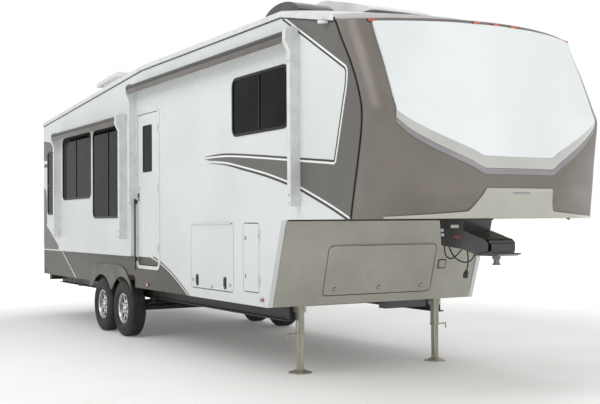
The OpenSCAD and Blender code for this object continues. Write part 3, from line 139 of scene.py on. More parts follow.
M = {
    # Gel-coated fibreglass sheet: high even gloss with slow waves from the frame behind it
    "gelcoat": finish("gelcoat_panel", "#dde1e1", "#d5d9d8", 0.28, 0.06, cloud_mm=1100, grain_mm=900, depth_mm=4,
                      Specular_IOR_Level=0.08),
    # Metallic base coat under clear lacquer on the moulded cap: fine flake and a deep gloss
    "cap": finish("metallic_cap_lacquer", "#7a746e", "#6f6963", 0.34, 0.05, 0.25, cloud_mm=500, grain_mm=1.2,
                  depth_mm=0.1, Specular_IOR_Level=0.15, Coat_Weight=0.06, Coat_Roughness=0.08),
    # Gel-coated moulding of the nose: white, smooth and even
    "nose": finish("white_nose_gelcoat", "#e4e8e9", "#dde2e3", 0.24, 0.05, cloud_mm=900, grain_mm=600, depth_mm=2,
                   Specular_IOR_Level=0.3),
    # Gel-coated moulding of the chin: warm beige
    "chin": finish("beige_chin_gelcoat", "#b0afa4", "#a5a49a", 0.22, 0.06, cloud_mm=600, grain_mm=500, depth_mm=2,
                   Coat_Weight=0.4, Coat_Roughness=0.08),
    # Painted bevel under the nose moulding: pale grey
    "bevel": finish("pale_bevel_lacquer", "#bfbfbc", "#b5b5b2", 0.2, 0.05, cloud_mm=500, grain_mm=400, depth_mm=1,
                    Specular_IOR_Level=0.25),
    # Painted band under the bevel: cool light grey with a little flake; also the painted shade of the chin's slot
    "band": finish("silver_band_lacquer_and_slot_shade", "#918f92", "#868487", 0.3, 0.05, 0.15, cloud_mm=500, grain_mm=1.2,
                   depth_mm=0.1, Specular_IOR_Level=0.2),
    # Gel-coated front of the luggage bay: flat grey-beige, dustier in patches
    "basement": finish("grey_front_gelcoat", "#b0afa5", "#a19f95", 0.3, 0.08, cloud_mm=450, grain_mm=400,
                       depth_mm=1.5, Coat_Weight=0.3, Coat_Roughness=0.12),
    # Rubbery roofing sheet: matt and faintly grained, with dust in patches
    "roof": finish("rubber_roof_sheet", "#e6e8e7", "#cfd0cc", 0.62, 0.08, cloud_mm=650, grain_mm=3, depth_mm=0.6),
    # Injection-moulded shroud: pale, with a fine even texture
    "roof_unit": finish("moulded_unit_shroud", "#e3e5e5", "#d5d7d6", 0.36, 0.06, cloud_mm=300, grain_mm=1.5,
                        depth_mm=0.15),
    # Smoked acrylic vent shell: dark grey with a low gloss
    "vent": finish("smoked_vent_shell", "#3f4244", "#2e3133", 0.28, 0.08, cloud_mm=250, grain_mm=2, depth_mm=0.1),
    # Powder-coated steel of the hitch: black with a fine orange-peel skin
    "black_steel": finish("black_powder_coat", "#131416", "#1d1e20", 0.26, 0.1, cloud_mm=160, grain_mm=1.4,
                          depth_mm=0.25, Coat_Weight=0.4, Coat_Roughness=0.1),
    # Sprayed chassis enamel: black with road dust settled on it
    "chassis": finish("chassis_enamel", "#161718", "#4a4641", 0.5, 0.15, cloud_mm=130, grain_mm=4, depth_mm=0.5),
    # Zinc-plated tube: pale and slightly warm, streaked along its length
    "leg": finish("zinc_plated_tube", "#b3b0a2", "#8f8c80", 0.36, 0.12, 0.4, cloud_mm=30, grain_mm=4, depth_mm=0.1,
                  stretch=(1, 1, 0.08)),
    # Privacy glass: almost black, with clean hard reflections
    "glass": finish("privacy_glass", "#0c0d0e", "#17191b", 0.04, 0.01, cloud_mm=450, grain_mm=700, depth_mm=0.6,
                    IOR=1.52, Specular_IOR_Level=0.04),
    # Anodised and lacquered extrusion: satin black
    "trim": finish("black_anodised_trim", "#151618", "#202123", 0.36, 0.1, 0.3, cloud_mm=60, grain_mm=1.2,
                   depth_mm=0.08, Specular_IOR_Level=0.2),
    # Vacuum-formed fender moulding: grey-brown with a low sheen
    "skirt": finish("formed_fender_plastic", "#64625a", "#5a5851", 0.4, 0.08, cloud_mm=220, grain_mm=1.8,
                    depth_mm=0.2, Specular_IOR_Level=0.2),
    # Trailer tyre rubber: matt charcoal, browner where road dust sticks
    "tyre": finish("tyre_rubber", "#1c1c1d", "#393633", 0.72, 0.12, cloud_mm=90, grain_mm=2.5, depth_mm=0.5),
    # Machined and lacquered aluminium wheel: bright, with fine turning marks
    "alloy": finish("machined_alloy", "#c9ccce", "#aeb1b4", 0.22, 0.1, 0.9, cloud_mm=30, grain_mm=1.2,
                    depth_mm=0.08, Coat_Weight=0.5),
    # Chromed caps and lock faces: near mirror
    "chrome": finish("chrome_plate", "#d4d6d8", "#bfc2c5", 0.08, 0.04, 1.0, cloud_mm=25, grain_mm=2, depth_mm=0.02),
    # Greased forged steel of the kingpin: dark and uneven
    "steel": finish("greased_steel", "#7b7d80", "#4c4d4e", 0.35, 0.15, 0.95, cloud_mm=18, grain_mm=1.5, depth_mm=0.1),
    # Acrylic-coated awning cloth rolled on its tube: dark, with a rib along the roll
    "cloth": finish("awning_cloth", "#19181b", "#2a282a", 0.66, 0.08, cloud_mm=180, grain_mm=1.6, depth_mm=0.3,
                    stretch=(0.2, 1, 1), Sheen_Weight=0.2),
    # Sewn edge of the awning cloth: faded grey-brown weave
    "hem": finish("awning_hem_cloth", "#6c6660", "#57524d", 0.75, 0.08, cloud_mm=140, grain_mm=1.6, depth_mm=0.3,
                  stretch=(0.3, 1, 1), Sheen_Weight=0.2),
    # Plywood deck under its vapour sheet: brown-grey, grained along the trailer
    "deck": finish("plywood_deck", "#8f877c", "#6f685e", 0.7, 0.08, cloud_mm=80, grain_mm=14, depth_mm=1,
                   stretch=(0.06, 1, 1)),
    # Powder-coated aluminium: white with a soft satin skin
    "arm": finish("white_powder_coat", "#dcdfde", "#cdd0cf", 0.3, 0.08, cloud_mm=120, grain_mm=1.4, depth_mm=0.15),
    # Acrylic lamp lens: saturated red with moulded ribs
    "red_lens": finish("red_lens", "#a5241a", "#7c150f", 0.12, 0.05, cloud_mm=20, grain_mm=5, depth_mm=0.5,
                       Coat_Weight=1.0, Transmission_Weight=0.15, IOR=1.49),
    # Acrylic lamp lens: amber with moulded ribs
    "amber_lens": finish("amber_lens", "#d0581c", "#a33c10", 0.12, 0.05, cloud_mm=20, grain_mm=5, depth_mm=0.5,
                         Coat_Weight=1.0, Transmission_Weight=0.15, IOR=1.49),
    # Cast vinyl film on the gelcoat: even satin grey
    "graphic": finish("grey_vinyl", GRAPHIC, "#64625e", 0.3, 0.05, cloud_mm=1300, grain_mm=700, depth_mm=1,
                      Specular_IOR_Level=0.14),
    "line": finish("dark_vinyl", LINE, "#434240", 0.3, 0.05, cloud_mm=900, grain_mm=600, depth_mm=1,
                   Specular_IOR_Level=0.14),
    "white_line": finish("white_vinyl", "#f1f3f3", "#e8eaea", 0.3, 0.05, cloud_mm=900, grain_mm=600, depth_mm=1,
                         Specular_IOR_Level=0.14),
    # Rubber-jacketed cable: soft sheen over near black
    "cable": finish("cable_rubber", "#131314", "#212122", 0.42, 0.1, cloud_mm=15, grain_mm=1.5, depth_mm=0.15),
    # Blank polyester labels: smooth satin film
    "label": finish("blank_white_label", "#d9d9d5", "#cdcdc8", 0.33, 0.06, cloud_mm=40, grain_mm=2, depth_mm=0.03),
    "label_red": finish("blank_red_label", "#9d3a30", "#8b3129", 0.33, 0.06, cloud_mm=40, grain_mm=2, depth_mm=0.03),
    # Moulded black plastic: satin, with a fine spark-eroded texture
    "black_plastic": finish("black_moulded_plastic", "#17181a", "#232426", 0.36, 0.08, cloud_mm=50, grain_mm=1.2,
                            depth_mm=0.15),
    # Neoprene sealing strip: flat black
    "seal": finish("neoprene_seal", "#101011", "#1b1b1c", 0.7, 0.1, cloud_mm=40, grain_mm=2, depth_mm=0.3),
}


def paint_skirt(mat):
    """Paints the lower side dark up to the belt and ends it in a falling curve with a line beside it."""
    start, slope, curve = -0.16, 0.1615, 0.1617
    line_low, line_high = 0.018, 0.036
    tree = mat.node_tree
    shader = tree.nodes["Principled BSDF"]
    base = shader.inputs["Base Color"].links[0].from_socket
    place = add(tree, "ShaderNodeTexCoord").outputs["Object"]
    x, _, z = add(tree, "ShaderNodeSeparateXYZ", {0: place}).outputs
    past = add(tree, "ShaderNodeMath", {0: x, 1: start}, operation="SUBTRACT").outputs[0]
    run = add(tree, "ShaderNodeMath", {0: past, 1: 0.0}, operation="MAXIMUM").outputs[0]
    steep = add(tree, "ShaderNodeMath", {0: run, 1: curve, 2: slope}, operation="MULTIPLY_ADD").outputs[0]
    height = add(tree, "ShaderNodeMath", {0: run, 1: steep, 2: z}, operation="MULTIPLY_ADD").outputs[0]
    above = add(tree, "ShaderNodeMath", {0: height, 1: BELT_Z}, operation="SUBTRACT").outputs[0]
    skirt = add(tree, "ShaderNodeMath", {0: above, 1: 0.0}, operation="LESS_THAN").outputs[0]
    over = add(tree, "ShaderNodeMath", {0: above, 1: line_low}, operation="GREATER_THAN").outputs[0]
    under = add(tree, "ShaderNodeMath", {0: above, 1: line_high}, operation="LESS_THAN").outputs[0]
    ahead = add(tree, "ShaderNodeMath", {0: x, 1: start + 0.1}, operation="GREATER_THAN").outputs[0]
    band = add(tree, "ShaderNodeMath", {0: over, 1: under}, operation="MULTIPLY").outputs[0]
    line = add(tree, "ShaderNodeMath", {0: band, 1: ahead}, operation="MULTIPLY").outputs[0]
    lined = add(tree, "ShaderNodeMix", {0: line, 6: base, 7: linear(LINE)}, data_type="RGBA").outputs[2]
    painted = add(tree, "ShaderNodeMix", {0: skirt, 6: lined, 7: linear(SKIRT)}, data_type="RGBA").outputs[2]
    tree.links.new(painted, shader.inputs["Base Color"])


paint_skirt(M["gelcoat"])

CAD_LOOKS = {
    "gelcoat": ["door_side_wall", "off_door_wall", "rear_wall", "entry_door", "baggage_door", "utility_door",
                "off_baggage_door", "slideout_room", "off_slideout_room"],
    "cap": ["front_cap"],
    "nose": ["cap_nose_panel"],
    "chin": ["cap_chin_panel"],
    "bevel": ["cap_bevel_bands"],
    "basement": ["basement_front", "front_hatch"],
    "roof": ["roof"],
    "roof_unit": ["air_conditioners", "lidded_vent"],
    "vent": ["roof_vents"],
    "trim": ["opening_frames", "slideout_frames", "off_slideout_frames"],
    "black_steel": ["pin_box", "landing_gear_drive"],
    "chassis": ["chassis_rails", "chassis_crossmembers", "spring_hangers", "rear_bumper", "axles",
                "leaf_springs", "rear_stabilisers"],
    "leg": ["landing_legs"],
    "steel": ["kingpin"],
    "glass": ["window_glass", "entry_door_glass", "slideout_glass", "off_slideout_glass"],
    "skirt": ["fender_skirts"],
    "deck": ["main_floor", "upper_deck"],
    "arm": ["awning_arms", "slideout_awning", "off_slideout_topper", "entry_frame"],
    "black_plastic": ["assist_handle"],
    "cloth": ["awning_roller", "slideout_roller"],
    "red_lens": ["lamps"],
    "cable": ["power_cord", "power_plug"],
    "tyre": [n for n in cad if n.endswith("_tyre")],
    "alloy": [n for n in cad if n.endswith("_rim")],
}
for look, names in CAD_LOOKS.items():
    for n in names:
        cad[n].data.materials.clear()
        cad[n].data.materials.append(M[look])


# Mesh building
def finish_mesh(name, bm, material, body, smooth=30, bevel=0.0, segments=2):
    """Makes the object, rounds its sharp edges, shades it smooth below an angle and lets it ride on a body."""
    if bevel:
        edges = [e for e in bm.edges if e.is_manifold and e.calc_face_angle(0) > math.radians(25)]
        bmesh.ops.bevel(bm, geom=edges, offset=bevel, segments=segments, profile=0.5, affect="EDGES", material=-1,
                        clamp_overlap=True)
    bmesh.ops.recalc_face_normals(bm, faces=bm.faces)
    mesh = bpy.data.meshes.new(name)
    bm.to_mesh(mesh)
    bm.free()
    mesh.materials.append(M[material])
    obj = bpy.data.objects.new(name, mesh)
    bpy.context.scene.collection.objects.link(obj)
    mesh.shade_smooth()
    mesh.set_sharp_from_angle(angle=math.radians(smooth))
    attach(obj, body)
    return obj


def put_box(bm, low, high):
    """A box between two corners."""
    low, high = Vector(low), Vector(high)
    made = bmesh.ops.create_cube(bm, size=1)["verts"]
    bmesh.ops.scale(bm, vec=high - low, verts=made)
    bmesh.ops.translate(bm, vec=(low + high) / 2, verts=made)
    return made


def put_rod(bm, start, end, radius, sides=16, end_radius=None):
    """A closed rod between two points."""
    start, end = Vector(start), Vector(end)
    made = bmesh.ops.create_cone(bm, segments=sides, radius1=radius,
                                 radius2=radius if end_radius is None else end_radius,
                                 depth=(end - start).length, cap_ends=True)["verts"]
    turn = (end - start).to_track_quat("Z", "Y").to_matrix().to_4x4()
    bmesh.ops.transform(bm, matrix=Matrix.Translation((start + end) / 2) @ turn, verts=made)
    return made


def put_plate(bm, points, offset):
    """A closed plate: an outline of points, filled and drawn out by a vector."""
    face = bm.faces.new([bm.verts.new(p) for p in points])
    drawn = bmesh.ops.extrude_face_region(bm, geom=[face])["geom"]
    bmesh.ops.translate(bm, vec=offset, verts=[v for v in drawn if isinstance(v, bmesh.types.BMVert)])


def arc(cx, cz, rx, rz, start, end, n):
    """Points of an arc in a plane, angles in degrees."""
    return [(cx + rx * math.cos(math.radians(start + (end - start) * i / n)),
             cz + rz * math.sin(math.radians(start + (end - start) * i / n))) for i in range(n + 1)]


def rounded(x0, z0, x1, z1, r, n=6):
    """The outline of a rectangle with round corners."""
    return (arc(x1 - r, z1 - r, r, r, 0, 90, n) + arc(x0 + r, z1 - r, r, r, 90, 180, n)
            + arc(x0 + r, z0 + r, r, r, 180, 270, n) + arc(x1 - r, z0 + r, r, r, 270, 360, n))


def smooth_path(points, steps=6):
    """A Catmull-Rom curve through 2-D points."""
    out = []
    for i in range(len(points) - 1):
        p0 = points[max(i - 1, 0)]
        p1, p2 = points[i], points[i + 1]
        p3 = points[min(i + 2, len(points) - 1)]
        for s in range(steps):
            t = s / steps
            out.append(tuple(0.5 * (2 * p1[k] + (p2[k] - p0[k]) * t
                                    + (2 * p0[k] - 5 * p1[k] + 4 * p2[k] - p3[k]) * t * t
                                    + (3 * p1[k] - p0[k] - 3 * p2[k] + p3[k]) * t ** 3) for k in (0, 1)))
    return out + [tuple(points[-1])]


def side_decal(bm, side, outline, lift=DECAL):
    """A film on a side wall; outline is in X and Z."""
    y = side * (HALF_W + lift)
    put_plate(bm, [(x, y, z) for x, z in outline], (0, -side * (lift - 0.0001), 0))


def stroke(points, width, taper=0.0):
    """The outline of a line of that width along 2-D points; taper narrows its first part to a tip."""
    left, right = [], []
    for i, p in enumerate(points):
        a, b = points[max(i - 1, 0)], points[min(i + 1, len(points) - 1)]
        dx, dz = b[0] - a[0], b[1] - a[1]
        length = math.hypot(dx, dz) or 1
        w = width / 2 * (min(1.0, 0.1 + i / (taper * len(points))) if taper else 1.0)
        left.append((p[0] - dz / length * w, p[1] + dx / length * w))
        right.append((p[0] + dz / length * w, p[1] - dx / length * w))
    return left + right[::-1]


def moved(points, distance):
    """2-D points pushed sideways, to the left of their direction."""
    out = []
    for i, p in enumerate(points):
        a, b = points[max(i - 1, 0)], points[min(i + 1, len(points) - 1)]
        dx, dz = b[0] - a[0], b[1] - a[1]
        length = math.hypot(dx, dz) or 1
        out.append((p[0] - dz / length * distance, p[1] + dx / length * distance))
    return out


def along(rows, x):
    """The row at x on smooth curves through a table's rows, which never overshoot them."""
    x = min(max(x, rows[0][0]), rows[-1][0])
    k = max(i for i in range(len(rows) - 1) if rows[i][0] <= x)
    h = rows[k + 1][0] - rows[k][0]
    t = (x - rows[k][0]) / h
    out = []
    for c in range(1, len(rows[0])):
        slopes = [(b[c] - a[c]) / (b[0] - a[0]) for a, b in zip(rows, rows[1:])]
        ends = []
        for i in (k, k + 1):
            before, after = slopes[max(i - 1, 0)], slopes[min(i, len(slopes) - 1)]
            ends.append(0.0 if before * after <= 0 else 2 * before * after / (before + after))
        out.append(rows[k][c] * (2 * t ** 3 - 3 * t * t + 1) + rows[k + 1][c] * (3 * t * t - 2 * t ** 3)
                   + h * (ends[0] * (t ** 3 - 2 * t * t + t) + ends[1] * (t ** 3 - t * t)))
    return out


# Power cord: the same route as the CAD tube
PIN_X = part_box("pin_box")[0].x + 0.01
CORD_MM = [[36, -128, 1262], [36, -128, 1225], [41, -128, 1185], [56, -129, 1150], [88, -130, 1131],
           [125, -131, 1126], [165, -132, 1134], [205, -133, 1155], [250, -133, 1187], [290, -132, 1220],
           [305, -130, 1255], [303, -126, 1290], [275, -122, 1322], [225, -118, 1335], [165, -114, 1330],
           [110, -111, 1305], [80, -109, 1265], [80, -108, 1225], [108, -108, 1180], [150, -108, 1140],
           [200, -108, 1115], [255, -108, 1102], [315, -108, 1100], [365, -108, 1115], [405, -108, 1150],
           [425, -109, 1195], [431, -112, 1242], [417, -114, 1276], [383, -116, 1290], [350, -119, 1276],
           [337, -122, 1242], [341, -124, 1200], [351, -125, 1155], [354, -126, 1110], [347, -126, 1070],
           [335, -126, 1036]]
CORD_RADIUS = 0.006


def power_cord():
    points = [(PIN_X + x / 1000, y / 1000, z / 1000) for x, y, z in CORD_MM]
    curve = bpy.data.curves.new("towing_cable", "CURVE")
    curve.dimensions = "3D"
    curve.bevel_depth = CORD_RADIUS
    curve.bevel_resolution = 4
    curve.resolution_u = 6
    spline = curve.splines.new("BEZIER")
    spline.bezier_points.add(len(points) - 1)
    for p, co in zip(spline.bezier_points, points):
        p.co = co
        p.handle_left_type = p.handle_right_type = "AUTO"
    curve.use_fill_caps = True
    obj = bpy.data.objects.new("towing_cable", curve)
    bpy.context.scene.collection.objects.link(obj)
    curve.materials.append(M["cable"])
    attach(obj, "trailer")
    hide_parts("power_cord")


power_cord()


# Vinyl graphics on both sides
ROOF_BEND_X, ROOF_PEAK_X, CAP_TOP_Z = -0.409, 3.152, 3.142
EAVE_Z = 3.335
SEAM = [(4.067, 3.142), (4.087, 3.138), (4.189, 2.96), (4.306, 2.78), (4.402, 2.6), (4.464, 2.43),
        (4.483, 2.32), (4.469, 2.16), (4.429, 1.97), (4.399, 1.85), (4.367, 1.72), (4.337, 1.6), (4.309, 1.473)]
TIP = (1.431, 2.122)
SWOOSH_TOP = [TIP, (1.966, 2.116), (2.6, 2.066), (3.259, 2.005), (3.987, 1.937)]
SWOOSH_LOW = [(1.56, 2.102), (1.966, 2.066), (2.36, 2.002), (2.85, 1.915), (3.257, 1.825), (3.463, 1.775),
              (3.982, 1.605), (4.285, 1.492)]
FRONT_BORDER = ([(3.987, 1.937)] + arc(4.045, 1.975, 0.045, 0.045, 270, 350, 4)
                + [(4.262, 2.56)] + arc(4.2, 2.665, 0.075, 0.085, 0, 58, 5) + [(3.19, 3.325)])


def front_graphics(side):
    body = "trailer"
    tag = "door" if side < 0 else "off"
    top = smooth_path(SWOOSH_TOP)
    low = smooth_path(SWOOSH_LOW)
    border = top + FRONT_BORDER[1:]
    inset = 0.012
    bm = bmesh.new()
    crown = [(ROOF_PEAK_X, EAVE_Z - 0.004), (SEAM[0][0] - inset, SEAM[0][1] - inset * 0.3)]
    seam = [(x - inset, z) for x, z in SEAM[1:]]
    side_decal(bm, side, border + crown + seam + low[::-1])
    finish_mesh(f"graphic_front_{tag}", bm, "graphic", body)
    bm = bmesh.new()
    side_decal(bm, side, stroke(moved(border, 0.009), 0.018, 0.15), 2 * DECAL)
    side_decal(bm, side, stroke(moved(low, -0.009), 0.018, 0.3), 2 * DECAL)
    finish_mesh(f"white_lines_{tag}", bm, "white_line", body)
    bm = bmesh.new()
    side_decal(bm, side, stroke(moved(border, 0.027), 0.018, 0.15), 3 * DECAL)
    side_decal(bm, side, stroke(moved(low, -0.029), 0.022, 0.3), 3 * DECAL)
    finish_mesh(f"dark_lines_{tag}", bm, "line", body)


def rear_graphics(side):
    tag = "door" if side < 0 else "off"
    edge = REAR_X + 0.002
    bm = bmesh.new()
    side_decal(bm, side, [(edge, 2.772), (-3.864, 2.668), (-3.864, 2.584), (-4.59, 2.584), (-4.634, 2.54),
                          (-4.636, 2.45), (edge, 2.455)])
    side_decal(bm, side, [(edge, 2.03), (-4.72, 1.97), (-4.676, 1.8), (-4.67, 1.46), (-4.686, 1.43),
                          (-3.88, BELT_Z + 0.008), (edge, BELT_Z + 0.008)])
    finish_mesh(f"graphic_rear_{tag}", bm, "graphic", "trailer")
    bm = bmesh.new()
    side_decal(bm, side, stroke([(edge + 0.02, 2.375), (-4.64, 2.37)], 0.05), 2 * DECAL)
    finish_mesh(f"dark_rear_{tag}", bm, "line", "trailer")
    bm = bmesh.new()
    side_decal(bm, side, stroke([(-4.686, 1.43), (-3.862, 1.046), (-3.135, 0.656)], 0.016), 2 * DECAL)
    side_decal(bm, side, stroke([(edge + 0.02, 2.43), (-4.64, 2.427)], 0.02), 2 * DECAL)
    side_decal(bm, side, stroke([(edge + 0.012, BELT_Z), (-3.868, BELT_Z)], 0.014), 2 * DECAL)
    finish_mesh(f"white_rear_{tag}", bm, "white_line", "trailer")


for s in SIDES.values():
    front_graphics(s)
    rear_graphics(s)


# Moulded front cap: height, then the seam, the corner and the middle ahead of the cap's start, in mm
CAP_ROWS = [(1473, 242, 547, 780), (1600, 270, 560, 850), (1720, 300, 575, 905), (1850, 332, 590, 907),
            (1970, 362, 602, 886), (2160, 402, 628, 838), (2320, 416, 646, 796), (2430, 397, 602, 768),
            (2600, 335, 528, 724), (2780, 239, 444, 678), (2960, 122, 350, 631), (3078, 54, 297, 604),
            (3150, 20, 273, 593)]
CORNER_Y, CORNER_X, BOW, HALF = 1126, 185, 2.2, 1219
CORNER_START = 22
CORNER_RY = (HALF - CORNER_Y) / (1 - math.sin(math.radians(CORNER_START)))
TOP_EDGE_R = 30


def cap_section(s, z):
    """A point of the cap's plan section and its outward direction; s is 0 at the seam and 1 in the middle."""
    seam, corner, centre = along(CAP_ROWS, z)
    side_end, corner_end = 0.12, 0.42
    start = corner - CORNER_X
    if s < side_end:
        return (seam + (start - seam) * s / side_end, HALF), (0.0, 1.0)
    if s < corner_end:
        a = math.radians(90 - (90 - CORNER_START) * (s - side_end) / (corner_end - side_end))
        rx = CORNER_X / math.cos(math.radians(CORNER_START))
        return (start + rx * math.cos(a), HALF - CORNER_RY + CORNER_RY * math.sin(a)), (math.cos(a), math.sin(a))
    y = CORNER_Y * (1 - s) / (1 - corner_end)
    side = 0.37 * (y / CORNER_Y) ** (BOW - 1)
    return (centre - (centre - corner) * (y / CORNER_Y) ** BOW, y), (math.sqrt(1 - side * side), side)


def cap_top(ahead, y):
    """Height of the cap's top skin, falling forwards and crowned across."""
    return 3150 + 70 * (1 - (y / HALF) ** 2) - 0.165 * ahead


def cap_point(u, v):
    """A point of the cap's skin in metres; u runs from side to side, v up the front and back over the top."""
    front_share, edge_share = 0.78, 0.88
    s = 1 - abs(u)
    (edge, y_edge), _ = cap_section(s, CAP_ROWS[-1][0])
    top = cap_top(edge, y_edge)
    if v <= front_share:
        z = 1473 + (top - TOP_EDGE_R - 1473) * v / front_share
        (x, y), _ = cap_section(s, z)
    else:
        turn = math.radians(90 * min(1.0, (v - front_share) / (edge_share - front_share)))
        z = top - TOP_EDGE_R + TOP_EDGE_R * math.sin(turn)
        (x, y), (nx, ny) = cap_section(s, z)
        x -= TOP_EDGE_R * (1 - math.cos(turn)) * nx
        y -= TOP_EDGE_R * (1 - math.cos(turn)) * ny
        if v > edge_share:
            back = (v - edge_share) / (1 - edge_share)
            x, z = x * (1 - back), z + cap_top(x * (1 - back), y) - cap_top(x, y)
    return Vector((CAP_X + x / 1000, math.copysign(y, u) / 1000, z / 1000))


def front_x(y, z):
    """The cap's front at a half width and a height in mm, in metres."""
    _, corner, centre = along(CAP_ROWS, z)
    return CAP_X + (centre - (centre - corner) * (abs(y) / CORNER_Y) ** BOW) / 1000


def cap_shell():
    columns, rows, wall = 80, 60, 0.02
    bm = bmesh.new()
    bmesh.ops.create_grid(bm, x_segments=columns, y_segments=rows, size=1)
    for v in bm.verts:
        v.co = cap_point(v.co.x, (v.co.y + 1) / 2)
    bm.normal_update()
    if sum(f.normal.x for f in bm.faces) < 0:
        bmesh.ops.reverse_faces(bm, faces=bm.faces)
    skin = bm.faces[:]
    drawn = bmesh.ops.extrude_face_region(bm, geom=skin)["geom"]
    for v in drawn:
        if isinstance(v, bmesh.types.BMVert):
            deep = Vector((CAP_X - 0.2, 0, 2.3)) - v.co
            v.co += Vector((deep.x, deep.y, 0)).normalized() * wall - Vector((0, 0, wall if v.co.z > 3.0 else 0))
    obj = finish_mesh("cap_shell", bm, "cap", "trailer", 40)
    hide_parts("front_cap")


def front_sheet(name, material, ys, low, high, out_low, out_high, rows=6, seat=3, bevel=0.0):
    """A moulded sheet on the cap's front between two edges, each a height at a half width, in mm."""
    bm = bmesh.new()
    columns = len(ys) - 1
    bmesh.ops.create_grid(bm, x_segments=columns, y_segments=rows, size=1)
    for v in bm.verts:
        y = ys[round((v.co.x + 1) / 2 * columns)]
        t = (v.co.y + 1) / 2
        z = low(abs(y)) + (high(abs(y)) - low(abs(y))) * t
        out = out_low + (out_high - out_low) * t
        v.co = Vector((front_x(y, z) + out / 1000, y / 1000, z / 1000))
        v.co.x += (seat - out) / 1000
    bottom = bm.verts[:]
    outs = {v: out_low + (out_high - out_low) * i / rows for v, i in
            ((v, round((v.co.z * 1000 - low(abs(v.co.y * 1000)))
                       / max(high(abs(v.co.y * 1000)) - low(abs(v.co.y * 1000)), 1) * rows)) for v in bottom)}
    places = {tuple(round(c, 6) for c in v.co): outs[v] for v in bottom}
    drawn = bmesh.ops.extrude_face_region(bm, geom=bm.faces[:])["geom"]
    for v in drawn:
        if isinstance(v, bmesh.types.BMVert):
            v.co.x += (places[tuple(round(c, 6) for c in v.co)] - seat) / 1000
    return finish_mesh(name, bm, material, "trailer", 32, bevel)


def spread(values, between=3):
    """The values with more of them between each pair, and their mirror images."""
    half = [a + (b - a) * i / between for a, b in zip(values, values[1:]) for i in range(between)] + [values[-1]]
    return [-v for v in half[::-1] if v > 0] + half


# Half width, the nose panel's lower edge, and how far the bevel and the band reach below it, in mm
EDGE_ROWS = [(0, 1968, 95, 143), (345, 1968, 95, 143), (470, 2026, 93, 142), (632, 2096, 88, 138),
             (770, 2156, 82, 132), (855, 2196, 76, 124), (940, 2236, 68, 112), (1066, 2318, 52, 88)]
EDGE_YS = spread([row[0] for row in EDGE_ROWS], 4)
CHIN_ROWS = [(0, 1715), (345, 1715), (372, 1660), (404, 1600), (430, 1560), (460, 1530), (520, 1524), (700, 1512),
             (900, 1500), (1120, 1490)]
DECK = 1474


def nose_low(y):
    return along(EDGE_ROWS, y)[0]


def nose_high(y):
    (edge, _), _ = cap_section(max(0.42, 1 - y / CORNER_Y * 0.58), CAP_ROWS[-1][0])
    return cap_top(edge, y) - TOP_EDGE_R - 6


def cap_panels():
    panel_out, band_out = 22, 6
    parts = (
        ("nose_panel", "nose", EDGE_YS, nose_low, nose_high, panel_out, panel_out, 40, 0.006),
        ("bevel_strip", "bevel", EDGE_YS, lambda y: nose_low(y) - along(EDGE_ROWS, y)[1] + 1,
         lambda y: nose_low(y) - 1, band_out, panel_out, 4, 0.0),
        ("band_strip", "band", EDGE_YS, lambda y: nose_low(y) - along(EDGE_ROWS, y)[2],
         lambda y: nose_low(y) - along(EDGE_ROWS, y)[1] - 2, band_out, band_out, 4, 0.002),
        ("chin_panel", "chin", spread([row[0] for row in CHIN_ROWS], 3), lambda y: DECK,
         lambda y: along(CHIN_ROWS, y)[0], 12, 12, 10, 0.004))
    for name, look, ys, low, high, out_low, out_high, rows, bevel in parts:
        front_sheet(name, look, ys, low, high, out_low, out_high, rows, bevel=bevel)
    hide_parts("cap_nose_panel")
    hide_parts("cap_bevel_bands")
    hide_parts("cap_chin_panel")


def cap_trim():
    """The moulding over the cap's seams, the clearance lamps and a grey plate of painted shade for the chin's slot.
    """
    lamp_ys = (-1060, -200, 0, 200, 1060)
    lamp_half, lamp_drop = 0.034, 0.028
    for side in SIDES.values():
        tag = "door" if side < 0 else "off"
        bm = bmesh.new()
        side_decal(bm, side, stroke([(x - 0.004, z) for x, z in smooth_path(SEAM, 3)], 0.016), 0.007)
        finish_mesh(f"seam_moulding_{tag}", bm, "trim", "trailer", bevel=0.002)
    base, lens = bmesh.new(), bmesh.new()
    for y in lamp_ys:
        (edge, _), (nx, ny) = cap_section(max(0.3, 1 - abs(y) / CORNER_Y * 0.58), CAP_ROWS[-1][0])
        z = cap_top(edge, y) / 1000 - lamp_drop
        x = front_x(y, 3120)
        out = Vector((nx, math.copysign(ny, y) if y else 0.0, 0)).normalized()
        across = Vector((-out.y, out.x, 0))
        for bm, half_l, half_h, depth in ((base, lamp_half + 0.008, 0.014, 0.01), (lens, lamp_half, 0.01, 0.026)):
            outline = rounded(-half_l, -half_h, half_l, half_h, half_h * 0.8, 4)
            start = Vector((x, y / 1000, z)) - out * 0.012
            put_plate(bm, [start + across * a + Vector((0, 0, b)) for a, b in outline], out * (depth + 0.012))
    # A thin grey plate just proud of the chin: painted shade standing in for a small recessed slot
    slot_half, slot_z0, slot_z1 = 0.09, 1.671, 1.685
    bm = bmesh.new()
    x = front_x(0, 1678) + 0.009
    put_plate(bm, [(x, a, b) for a, b in rounded(-slot_half, slot_z0, slot_half, slot_z1, 0.006)], (0.0045, 0, 0))
    finish_mesh("chin_slot_painted_shade", bm, "band", "trailer", bevel=0.001)
    finish_mesh("clearance_lamp_bases", base, "black_plastic", "trailer", bevel=0.002)
    finish_mesh("clearance_lamp_lenses", lens, "amber_lens", "trailer", bevel=0.004, segments=3)


cap_shell()
cap_panels()
cap_trim()


